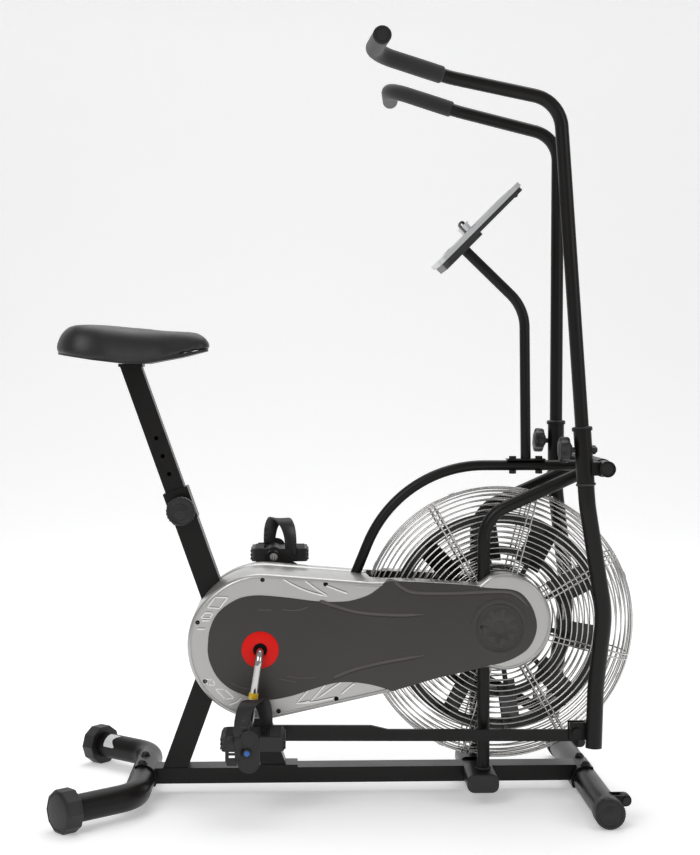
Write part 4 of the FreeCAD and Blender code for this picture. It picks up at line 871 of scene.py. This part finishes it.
def feet():
    """Ten-sided rear caps, ribbed front caps, the blank label and the cap screws."""
    sizes, coats = bpy.context.scene.bike_sizes, finishes()
    rear, front, screws = Mould(), Mould(), Mould()
    corner = CAP_FLAT / math.cos(math.pi / CAP_SIDES)
    start = LEG_END - LEG_WAY * CAP_OVERLAP
    profile = [(TUBE_RADIUS + 0.2, 27.0), (TUBE_RADIUS + 0.2, 0.0), (corner - 1.2, 0.0), (corner, 1.2),
               (corner, 25.5), (corner - 0.9, 28.5), (corner - 5.4, 31.8), (corner - 6.6, 32.2),
               (corner - 7.2, 31.2), (26, 32.6), (14, 33.6), (0.01, 34.0)]
    closed = turned(profile, start, LEG_WAY, CAP_SIDES, phase=math.pi / CAP_SIDES)
    ribs = sizes.rib_count
    for turn in (mirrored, np.asarray):
        rear.skin(turn(closed))
        cap = turned(FRONT_CAP_PROFILE, FRONT_CAP_FOOT, (0, 1, 0), ribs * 6, ribs=ribs, depth=0.011)
        plain = turned(FRONT_CAP_PROFILE, FRONT_CAP_FOOT, (0, 1, 0), ribs * 6)
        cap[:1], cap[5:] = plain[:1], plain[5:]
        front.skin(turn(cap))
        out = unit(CAP_SCREW_WAY)
        head_at = start - LEG_WAY * 4.0 + out * (TUBE_RADIUS - 0.4)
        screw_head(screws, turn(head_at), turn(out), 4.2)
    rear.make("rear_foot_caps", "frame", "end_cap", coats["end_cap"], ["rear_stabiliser_caps"], smooth=25)
    front.make("front_foot_caps", "frame", "end_cap", coats["end_cap"], ["front_stabiliser_caps"], smooth=50)
    screws.make("foot_cap_screws", "frame", "black_bolt", coats["bearing_steel"], smooth=50)

    towards = unit(LABEL_WAY - LEG_WAY * (LABEL_WAY @ LEG_WAY))
    sideways = np.cross(LEG_WAY, towards)
    u, v = LABEL_HALF
    outline = resampled(rounded_polygon([(-u, -v), (u, -v), (u, v), (-u, v)], 4.0, 6), 3.0)
    middle = LEG_END - LEG_WAY * LABEL_BACK
    shares = [1.0, 1.0, 0.98, 0.85, 0.7, 0.55, 0.4, 0.25, 0.12, 0.02]
    lifts = [0.05, 0.3] + [0.5] * 8
    grid = []
    for share, lift in zip(shares, lifts):
        along, a = outline[:, 0] * share, np.radians(outline[:, 1] * share * 1.15)
        out = np.cos(a)[:, None] * towards + np.sin(a)[:, None] * sideways
        grid.append(middle + along[:, None] * LEG_WAY + (TUBE_RADIUS + lift) * out)
    Mould().skin(np.array(grid)).make("blank_label", "frame", "end_cap", coats["label_paper"])


PULL_KNOB_PROFILE = [
    (0.01, 19.4), (3.6, 19.4), (4.0, 20.0), (4.0, 35.0), (9.8, 35.0), (11.0, 36.0), (11.0, 44.0),
    (23.5, 44.0), (26.0, 44.8), (27.2, 47.0), (27.5, 50.0), (27.5, 57.0), (27.0, 60.0), (25.2, 61.8),
    (23.4, 62.0), (22.6, 61.2), (21.8, 60.6), (14.5, 60.6), (13.8, 61.4), (12.6, 61.8), (0.01, 61.9),
]
LOBED_KNOB_PROFILE = [
    (0.01, -46.6), (9.0, -46.9), (11.0, -46.4), (12, -45.6), (17.5, -45.6), (20.8, -44.6), (22.3, -42.6),
    (22.6, -40), (22.3, -29.5), (20.5, -26.5), (16.5, -25.2), (10.5, -24.8), (9.6, -22.0), (5.0, -21.4),
    (5.0, -14.6), (0.01, -14.2),
]
SOCKET_NUT_PROFILE = [(8.4, 13.0), (8.4, 21.5), (7.6, 22.4), (5.2, 22.4), (5.2, 24.6), (4.4, 25.4),
                      (0.01, 25.6)]


def seat_point(s):
    """A point up the leaning seat tube, s from its foot."""
    lean = math.radians(19.5)
    return np.array([-144.8 - s * math.sin(lean), 0.0, 55.0 + s * math.cos(lean)])


def seat_hardware():
    """The round pull knob with its fluted rim and ring of bosses."""
    coats = finishes()
    at = seat_point(527.7)
    knob = Mould()
    rim = turned(PULL_KNOB_PROFILE, at, (0, -1, 0), 144, ribs=24, depth=0.018)
    plain = turned(PULL_KNOB_PROFILE, at, (0, -1, 0), 144)
    rim[:8], rim[13:] = plain[:8], plain[13:]
    knob.skin(rim)
    for k in range(12):
        a = math.radians(30 * k)
        centre = at + np.array([math.cos(a), 0, math.sin(a)]) * 18.2 + np.array([0, -60.4, 0])
        knob.skin(turned([(1.9, -0.5), (1.9, 0.5), (1.3, 0.9), (0.01, 1.0)], centre, (0, -1, 0), 12))
    slot = capsule((at[0] - 7, at[2]), (at[0] + 7, at[2]), 3.0)
    knob.skin(plate_rings(slot, [(0, 61.5), (0, 62.5), (0.6, 63.0)], -1))
    knob.make("seat_pull_knob", "seat_knob", "end_cap", coats["end_cap"], ["seat_pin"], smooth=40)


def lobed_knobs():
    """Clamping knobs behind the arm sockets, with a nut on the front of each socket."""
    coats = finishes()
    at = SOCKET_BOTTOM + HANDLE_AXIS * 65.0
    for side in (RIGHT, LEFT):
        name = SIDE_NAME[side]
        place = arm_place(side)
        head = turned(LOBED_KNOB_PROFILE, at, (1, 0, 0), 96, ribs=6, depth=0.075)
        plain = turned(LOBED_KNOB_PROFILE, at, (1, 0, 0), 96)
        head[:4], head[11:] = plain[:4], plain[11:]
        knob = Mould().skin(place(head))
        knob.make(f"{name}_lobed_knob", f"{name}_clamp", "end_cap", coats["end_cap"], [f"{name}_arm_knob"],
                  smooth=45)
        nut = Mould().skin(place(turned(SOCKET_NUT_PROFILE, at, (1, 0, 0), 6)))
        nut.make(f"{name}_socket_nut", f"{name}_swing", "black_bolt", coats["black_bolt"], smooth=25)


def weld_ring(mould, centre, axis, radius, half_width, seed):
    """A weld bead: a ring whose thickness ripples along it like overlapping pools."""
    axis = unit(axis)
    a = unit(np.cross(axis, (0.1, 1.0, 0.05) if abs(axis[1]) < 0.8 else (0.2, 0.1, 1.0)))
    b = np.cross(axis, a)
    v = np.linspace(0, 2 * np.pi, 180, endpoint=False)[:, None, None]
    w = np.linspace(0, 2 * np.pi, 8, endpoint=False)[None, :, None]
    ripple = 1 + 0.16 * np.abs(np.sin(v * 22 + seed)) + 0.06 * np.sin(5 * v + 2 * seed)
    out = np.cos(v) * a + np.sin(v) * b
    size = half_width * ripple
    mould.skin(np.asarray(centre) + out * (radius + size * np.cos(w)) + axis * size * np.sin(w), wrap_u=True)


def welds():
    """Weld beads where the round tubes meet."""
    sizes, coats = bpy.context.scene.bike_sizes, finishes()
    half = sizes.weld / MM
    frame_beads = Mould()
    for side in (RIGHT, LEFT):
        weld_ring(frame_beads, (254.0, side * 65.0, 61.0), (0, 0, 1), 12.0, half, 1.0)
        name, place = SIDE_NAME[side], arm_place(side)
        arm_bead = Mould()
        weld_ring(arm_bead, SOCKET_BOTTOM + HANDLE_AXIS * 1.0, HANDLE_AXIS, 15.6, half, 2.0)
        arm_bead.points = [place(p) for p in arm_bead.points]
        arm_bead.make(f"{name}_arm_welds", f"{name}_swing", "frame_black", coats["weld_paint"], smooth=60)
    frame_beads.make("frame_welds", "frame", "frame_black", coats["weld_paint"], smooth=60)


# Pedals ------------------------------------------------------------------------------

PEDAL_PINS = {RIGHT: np.array([-192.5, 0, 144.8]), LEFT: np.array([-147.5, 0, 446.2])}
PEDAL_OUTER, PEDAL_INNER = 221.0, 131.0


def band(path, across, width, thick):
    """A flat strap with rounded edges, carried along a path; across is its width's direction."""
    t = unit(np.gradient(path, axis=0))
    across = unit(across - t * np.sum(across * t, axis=1, keepdims=True))
    normal = np.cross(t, across)
    h, e = width / 2, thick / 2
    section = np.array([(-h, -e * 0.5), (-h + e, -e), (h - e, -e), (h, -e * 0.5), (h, e * 0.5), (h - e, e),
                        (-h + e, e), (-h, e * 0.5)])
    return path[:, None] + section[None, :, :1] * across[:, None] + section[None, :, 1:] * normal[:, None]


# Bars of the strap's tail, as outlines round its middle with each one's corner radius.
STRAP_TAIL_BARS = [
    ([(-8, 2), (8, 2), (11, -16), (11.5, -24), (-11.5, -24), (-11, -16)], 2.5),
    ([(-12, -22), (-5.5, -22), (-5.5, -50), (-12, -44)], 0.6),
    ([(5.5, -22), (12, -22), (12, -44), (5.5, -50)], 0.6),
    ([(-8, -28.5), (8, -28.5), (8, -33), (-8, -33)], 0.6),
    ([(-11, -37.5), (11, -37.5), (9, -52), (-9, -52)], 2.5),
]
BUCKLE_PROFILE = [(0.01, -2), (8.2, -2), (8.2, 2.4), (7.4, 3.4), (6.0, 3.4), (5.6, 2.6), (0.01, 2.6)]
BUTTON_PROFILE = [(0.01, 2.2), (5.0, 2.2), (5.0, 3.0), (4.2, 3.6), (2.4, 3.7), (0.01, 3.8)]
HUB_DISC_PROFILE = [(0.01, -1), (17.6, -1), (17.6, 2.2), (16.4, 3.2), (13.5, 3.2), (12.8, 2.4), (0.01, 2.7)]
STRAP_X, STRAP_SKEW, STRAP_LEAN, STRAP_RISE = 12.0, math.tan(math.radians(27)), -0.45, 56.5


def strap_run(pin):
    """The middle line of a right toe strap: up outside, over in a flattened arch, down inside.

    With a from 0 to pi, y = middle + half sign(cos a) |cos a|^0.8 and z rises by
    STRAP_RISE |sin a|^0.85; x falls off with y by the skew."""
    middle, half = (PEDAL_OUTER + PEDAL_INNER) / 2, (PEDAL_OUTER - PEDAL_INNER) / 2 - 1.5
    a = np.pi * np.linspace(0, 1, 60)
    y = middle + half * np.sign(np.cos(a)) * np.abs(np.cos(a)) ** 0.8
    z = pin[2] + 14 + STRAP_RISE * np.abs(np.sin(a)) ** 0.85
    arch = np.stack([STRAP_X - (y - middle) * STRAP_SKEW, y, z], 1)
    shift, low, high = half * STRAP_SKEW, np.linspace(-24, 13, 8), np.linspace(12, 2, 6)
    outer = np.stack([np.full(8, STRAP_X - shift), np.full(8, middle + half + 2.2), pin[2] + low], 1)
    inner = np.stack([np.full(6, STRAP_X + shift), np.full(6, middle - half), pin[2] + high], 1)
    run = resampled(np.concatenate([outer, arch, inner]), 3.0)
    run[:, 0] += pin[0]
    return run


def pedals():
    """Toe straps with their slots, tails and buckle buttons, and the pedals' moulded ribs."""
    coats = finishes()
    for side in (RIGHT, LEFT):
        name, pin = SIDE_NAME[side], PEDAL_PINS[side]
        body = f"{name}_pedal_body"
        flip, out = (1, side, 1), (0, side, 0)
        run = strap_run(pin)
        n = len(run)
        lean = np.broadcast_to([1.0, STRAP_LEAN, 0.0], (n, 3))
        width = np.interp(np.linspace(0, 1, n), [0, 0.1, 0.3, 0.75, 1], [22, 24, 28, 28, 24])
        grid = np.stack([band(run, lean, w, 3.0)[i] for i, w in enumerate(width)])
        strap = Mould().skin(grid * flip)
        strap.make(f"{name}_toe_strap", body, "end_cap", coats["end_cap"], [f"{name}_pedal_strap"], smooth=50)
        details = Mould()
        for k in range(3):
            centre = np.array([run[0, 0], pin[2] + 22 + 11 * k])
            slot = capsule(centre - (8, 0), centre + (8, 0), 2.2)
            y_at = np.interp(centre[1], run[:30, 2], run[:30, 1]) + 1.2
            details.skin(plate_rings(slot, [(0, y_at - 0.6), (0, y_at + 0.5), (0.5, y_at + 0.8)], side))
        details.make(f"{name}_strap_slots", body, "end_cap", coats["panel_painted_shade_and_slot"])
        tail = Mould()
        y_tail, tail_at = PEDAL_OUTER + 1.0, (pin[0] - 26.0, pin[2] + 15.0)
        for k, (bar, corner) in enumerate(STRAP_TAIL_BARS):
            ring = rounded_polygon(np.array(bar, float) + tail_at, corner)
            thick = 1.2 + 0.03 * k
            steps = [(0, y_tail - thick), (0, y_tail + thick - 0.4), (0.4, y_tail + thick)]
            tail.skin(plate_rings(ring, steps, side))
        tail.make(f"{name}_strap_tail", body, "end_cap", coats["end_cap"], smooth=50)
        button_at = np.array([pin[0] + 1, side * (PEDAL_OUTER + 3.0), pin[2] - 14])
        rim = Mould().skin(turned(BUCKLE_PROFILE, button_at, out, 40))
        rim.make(f"{name}_buckle", body, "end_cap", coats["end_cap"])
        dot = Mould().skin(turned(BUTTON_PROFILE, button_at, out, 32))
        dot.make(f"{name}_buckle_button", body, "end_cap", coats["blue_plastic"])
        ribs = Mould()
        for x_end in (69.0, -46.0):
            for k in (-7.5, 0.5, 8.5):
                line = np.array([(x_end, 138.0, k), (x_end, 214.0, k)])
                path = resampled(line + (pin[0], 0, pin[2]), 6.0)
                ribs.skin(sweep(path, 1.7, 10, (0, 0, 1)) * flip)
        for y_rib in np.linspace(139, 213, 9):
            for x_rear, x_front in ((-38, -20), (42, 62)):
                line = np.array([(x_rear, y_rib, 14.2), (x_front, y_rib, 14.2)])
                path = resampled(line + (pin[0], 0, pin[2]), 6.0)
                ribs.skin(sweep(path, 1.5, 8, (0, 0, 1)) * flip)
        hub_at = np.array([pin[0] + 5, side * (PEDAL_OUTER - 0.5), pin[2] + 9])
        ribs.skin(turned(HUB_DISC_PROFILE, hub_at, out, 48))
        ribs.make(f"{name}_pedal_ribs", body, "end_cap", coats["end_cap"])
    way = unit(np.array([-22.5, 0, -150.7]))
    start = np.array([CRANK[0], -121.0, CRANK[1]]) + way * 77.0
    sleeve = turned([(7.6, 0), (8.6, 0.2), (8.9, 0.8), (8.9, 10.6), (8.6, 11.2), (7.6, 11.4)], start, way, 36)
    Mould().skin(sleeve).make("crank_band", "crank_set", "end_cap", coats["band_plastic"])


# Console -----------------------------------------------------------------------------

CONSOLE_LOW = np.array([167.5, 0.0, 1019.0])


def on_console(points):
    """Points in the console's own frame (x up its face, z out of it) set in place."""
    p = np.asarray(points, float)
    c = math.cos(math.radians(45))
    return np.stack([CONSOLE_LOW[0] + c * (p[..., 0] - p[..., 2]), p[..., 1],
                     CONSOLE_LOW[2] + c * (p[..., 0] + p[..., 2])], -1)


def console_plate(mould, x0, x1, width, corner, steps):
    """A rounded plate on the console: each step is (inset, height out of the face)."""
    h = width / 2
    outline = rounded_polygon([(x0, -h), (x1, -h), (x1, h), (x0, h)], corner, 8)
    rings = []
    for move, z in steps:
        ring = inset(outline, move)
        rings.append(np.stack([ring[:, 0], ring[:, 1], np.full(len(ring), z)], 1))
    mould.skin(on_console(np.array(rings)))


def console():
    """Screen surround, button rims, tablet lip and back screws."""
    coats = finishes()
    rim = Mould()
    outline = rounded_polygon([(108, -58), (198, -58), (198, 58), (108, 58)], 6.0, 8)
    loop = np.concatenate([outline, outline[:1]])
    path = resampled(loop, 2.5)[:-1]
    line = np.stack([path[:, 0], path[:, 1], np.full(len(path), 5.0)], 1)
    t = unit(np.roll(line, -1, 0) - np.roll(line, 1, 0))
    side_way = np.cross(t, (0, 0, 1.0))
    v = np.linspace(0, 2 * np.pi, 10, endpoint=False)[None, :, None]
    bulge = 1.6 * np.cos(v) * side_way[:, None] + 0.9 * np.sin(v) * np.array([0, 0, 1.0])
    rim.skin(on_console(line[:, None] + bulge), wrap_u=True)
    normal = unit(on_console([0, 0, 1]) - on_console([0, 0, 0]))
    for y in (-34.0, 0.0, 34.0):
        centre = on_console([40, y, 5.0])
        rim.skin(turned([(8.6, -0.6), (8.6, 0.6), (9.4, 1.1), (10.8, 0.6), (11.2, -0.6)], centre, normal, 48),
                 ends=False)
    console_plate(rim, 62, 84, 128, 6, [(0, 4.6), (0, 5.4), (0.8, 5.9)])
    rim.make("console_surround", "frame", "silver_plastic", coats["console_silver"])
    pad = Mould()
    lip = rounded_run([(88.0, 4.0), (88.0, 27.0), (97.0, 27.0), (97.0, 20.0)], [5, 4], 10)
    lip = resampled(lip, 1.5)
    run = np.stack([lip[:, 0], np.zeros(len(lip)), lip[:, 1]], 1)
    pad.skin(on_console(band(run, np.broadcast_to([0.0, 1.0, 0.0], run.shape), 26.0, 3.0)))
    console_plate(pad, 89, 96, 116, 3, [(0, 5.0), (0, 6.2), (0.6, 6.8)])
    console_plate(pad, 102, 104.5, 104, 1.2, [(0, 4.8), (0, 5.5), (0.3, 5.8)])
    pad.make("console_tablet_pad", "frame", "console_plastic", coats["console_plastic"])
    screws = Mould()
    for x, y in ((20, -58), (20, 58), (196, -58), (196, 58)):
        screw_head(screws, on_console([x, y, -12.0]), -normal, 4.0)
    screws.make("console_back_screws", "frame", "black_bolt", coats["screw_steel"], smooth=50)


# Carried-over nodes --------------------------------------------------------------------

NODE_FINISH = {
    "frame_black": ["arc_tube", "console_mast", "foot_bar", "front_stabiliser", "main_rail", "pivot_tube",
                    "rear_brace", "rear_stabiliser", "seat_post", "seat_sleeve", "seat_tube", "uprights",
                    "left_arm", "right_arm", "left_handlebar", "right_handlebar", "left_link", "right_link",
                    "saddle_clamp"],
    "fan_steel": ["fan_wheel"],
    "end_cap": ["foot_bar_caps", "front_stabiliser_caps", "rear_stabiliser_caps", "left_arm_knob",
                "right_arm_knob", "left_pedal", "right_pedal", "left_pedal_strap", "right_pedal_strap",
                "left_transport_wheel", "right_transport_wheel", "saddle_base", "seat_pin"],
    "black_bolt": ["frame_bolts", "pivot_axle", "case_screws"],
    "chrome": ["crank", "left_cage", "right_cage"],
    "bearing_steel": ["crank_bearings", "fan_bearings", "fan_shaft"],
    "pulley_aluminium": ["drive_pulley", "fan_pulley"],
    "belt_rubber": ["drive_belt"],
    "silver_plastic": ["left_case_shell", "right_case_shell"],
    "console_silver": ["console_bezel"],
    "panel_plastic": ["left_case_panel", "right_case_panel", "fan_plug_covers"],
    "red_plastic": ["crank_hub_rings"],
    "console_plastic": ["console_back", "console_mode_button", "console_reset_button", "console_set_button"],
    "screen_glass": ["console_screen"],
    "grip_foam": ["left_grip", "right_grip"],
    "saddle_vinyl": ["saddle_pad"],
}


def dress_nodes():
    """Gives every node of the mechanical frame its finish."""
    coats = finishes()
    dressed = set()
    for name, nodes in NODE_FINISH.items():
        for node in nodes:
            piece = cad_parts[node]
            piece.data.materials.clear()
            piece.data.materials.append(coats[name])
            dressed.add(node)
    left = set(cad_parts) - dressed
    if left:
        raise RuntimeError(f"nodes without a finish: {sorted(left)}")


def lamp(name, place, aim, size, power):
    """A square soft light that faces a point."""
    light = bpy.data.lights.new(name, "AREA")
    light.energy, light.size = power, size
    holder = bpy.data.objects.new(name, light)
    holder.location = place
    holder.rotation_euler = (Vector(aim) - Vector(place)).to_track_quat("-Z", "Y").to_euler()
    bpy.context.scene.collection.objects.link(holder)


# Places in the studio, in metres and degrees.
FLOOR_RUN, FLOOR_GAP = [(-9.0, 0.0), (7.0, 0.0), (7.0, 9.0)], 0.0005
CAMERA_PLACE, CAMERA_DOWN, CAMERA_YAW = (-0.10337, -2.99658, 0.80756), 1.88, -2.01


def studio():
    """Pale floor that curves up behind, soft lights, and the camera."""
    settings = bpy.context.scene.bike_stage
    depth = rounded_run(FLOOR_RUN, [3.0], 24)
    across = np.linspace(-14, 14, 3)
    grid = np.stack(np.broadcast_arrays(across[None, :], depth[:, :1], depth[:, 1:] - FLOOR_GAP), -1)
    mesh = bpy.data.meshes.new("studio_floor")
    nu, nv = grid.shape[:2]
    u, v = np.arange(nu - 1)[:, None], np.arange(nv - 1)[None, :]
    quads = np.stack([u * nv + v, u * nv + v + 1, (u + 1) * nv + v + 1, (u + 1) * nv + v], -1).reshape(-1, 4)
    mesh.from_pydata(grid.reshape(-1, 3), [], quads.tolist())
    mesh.shade_smooth()
    floor = bpy.data.objects.new("studio_floor", mesh)
    bpy.context.scene.collection.objects.link(floor)
    mesh.materials.append(surface("studio_floor_paint", settings.floor, 0.85, grain_scale=60, relief=0.0,
                                  spread=0.01, cloud_scale=0.6, Emission_Color=(1, 1, 1, 1),
                                  Emission_Strength=0.3))
    world = bpy.context.scene.world or bpy.data.worlds.new("studio")
    bpy.context.scene.world = world
    world.use_nodes = True
    world.node_tree.nodes["Background"].inputs["Color"].default_value = (1, 1, 1, 1)
    world.node_tree.nodes["Background"].inputs["Strength"].default_value = 0.36
    lamp("key", (-2.2, -3.4, 3.4), (0, 0, 0.6), 2.2, settings.key_power)
    lamp("fill", (3.2, -2.6, 2.0), (0.1, 0, 0.6), 2.0, settings.fill_power)
    lamp("top", (0.2, 1.6, 4.2), (0, 0.8, 0.2), 3.4, settings.key_power * 1.4)
    camera = bpy.data.cameras.new("camera")
    camera.sensor_width, camera.lens = 36.0, settings.lens
    holder = bpy.data.objects.new("camera", camera)
    holder.location = CAMERA_PLACE
    holder.rotation_euler = (math.radians(90 - CAMERA_DOWN), 0, math.radians(CAMERA_YAW))
    bpy.context.scene.collection.objects.link(holder)
    bpy.context.scene.camera = holder
    bpy.context.scene.view_settings.view_transform = "Standard"


# Add-on ------------------------------------------------------------------------------


class AIRBIKE_OT_dress_nodes(Operator):
    """Give every part of the mechanical frame its finish"""

    bl_idname = "airbike.dress_nodes"
    bl_label = "Frame finishes"

    def execute(self, context):
        dress_nodes()
        return {"FINISHED"}


class AIRBIKE_OT_covers(Operator):
    """Make the silver shells and dark panels of both covers"""

    bl_idname = "airbike.covers"
    bl_label = "Covers"

    def execute(self, context):
        covers()
        return {"FINISHED"}


class AIRBIKE_OT_cover_details(Operator):
    """Make the moulded lines, plug covers, red rings and screws of the covers"""

    bl_idname = "airbike.cover_details"
    bl_label = "Cover details"

    def execute(self, context):
        cover_details()
        return {"FINISHED"}


class AIRBIKE_OT_saddle(Operator):
    """Make the padded saddle"""

    bl_idname = "airbike.saddle"
    bl_label = "Saddle"

    def execute(self, context):
        saddle()
        return {"FINISHED"}


class AIRBIKE_OT_grips(Operator):
    """Make the foam grips and their plugs"""

    bl_idname = "airbike.grips"
    bl_label = "Grips"

    def execute(self, context):
        grips()
        return {"FINISHED"}


class AIRBIKE_OT_cages(Operator):
    """Make the chrome cage round the fan"""

    bl_idname = "airbike.cages"
    bl_label = "Fan cage"

    def execute(self, context):
        cages()
        return {"FINISHED"}


class AIRBIKE_OT_feet(Operator):
    """Make the stabilisers' end caps and the blank label"""

    bl_idname = "airbike.feet"
    bl_label = "Feet"

    def execute(self, context):
        feet()
        return {"FINISHED"}


class AIRBIKE_OT_seat_hardware(Operator):
    """Make the seat's pull knob"""

    bl_idname = "airbike.seat_hardware"
    bl_label = "Seat knob"

    def execute(self, context):
        seat_hardware()
        return {"FINISHED"}


class AIRBIKE_OT_lobed_knobs(Operator):
    """Make the handlebars' clamping knobs"""

    bl_idname = "airbike.lobed_knobs"
    bl_label = "Arm knobs"

    def execute(self, context):
        lobed_knobs()
        return {"FINISHED"}


class AIRBIKE_OT_welds(Operator):
    """Make the weld beads of the frame"""

    bl_idname = "airbike.welds"
    bl_label = "Welds"

    def execute(self, context):
        welds()
        return {"FINISHED"}


class AIRBIKE_OT_pedals(Operator):
    """Make the toe straps and the pedals' ribs"""

    bl_idname = "airbike.pedals"
    bl_label = "Pedals"

    def execute(self, context):
        pedals()
        return {"FINISHED"}


class AIRBIKE_OT_console(Operator):
    """Make the console's surround, lip and screws"""

    bl_idname = "airbike.console"
    bl_label = "Console"

    def execute(self, context):
        console()
        return {"FINISHED"}


class AIRBIKE_OT_studio(Operator):
    """Set up the floor, the lights and the camera"""

    bl_idname = "airbike.studio"
    bl_label = "Studio"

    def execute(self, context):
        studio()
        return {"FINISHED"}


OPERATORS = (
    AIRBIKE_OT_dress_nodes, AIRBIKE_OT_covers, AIRBIKE_OT_cover_details, AIRBIKE_OT_saddle,
    AIRBIKE_OT_grips, AIRBIKE_OT_cages, AIRBIKE_OT_feet, AIRBIKE_OT_seat_hardware,
    AIRBIKE_OT_lobed_knobs, AIRBIKE_OT_welds, AIRBIKE_OT_pedals, AIRBIKE_OT_console,
    AIRBIKE_OT_studio,
)


class AIRBIKE_PT_sidebar(Panel):
    """Lists the bike's colours, sizes and operators"""

    bl_idname = "AIRBIKE_PT_sidebar"
    bl_label = "Air bike"
    bl_space_type = "VIEW_3D"
    bl_region_type = "UI"
    bl_category = "Air bike"

    def draw(self, context):
        for group in (context.scene.bike_finishes, context.scene.bike_sizes, context.scene.bike_stage):
            box = self.layout.box()
            for name in group.__annotations__:
                box.prop(group, name)
        for operator in OPERATORS:
            self.layout.operator(operator.bl_idname)


CLASSES = (BikeFinishes, BikeSizes, BikeStage, *OPERATORS, AIRBIKE_PT_sidebar)


def register():
    for made in CLASSES:
        bpy.utils.register_class(made)
    bpy.types.Scene.bike_finishes = PointerProperty(type=BikeFinishes)
    bpy.types.Scene.bike_sizes = PointerProperty(type=BikeSizes)
    bpy.types.Scene.bike_stage = PointerProperty(type=BikeStage)


def unregister():
    del bpy.types.Scene.bike_stage
    del bpy.types.Scene.bike_sizes
    del bpy.types.Scene.bike_finishes
    for made in reversed(CLASSES):
        bpy.utils.unregister_class(made)


def main():
    register()
    for operator in OPERATORS:
        group, name = operator.bl_idname.split(".")
        getattr(getattr(bpy.ops, group), name)()


if __name__ == "__main__":
    main()
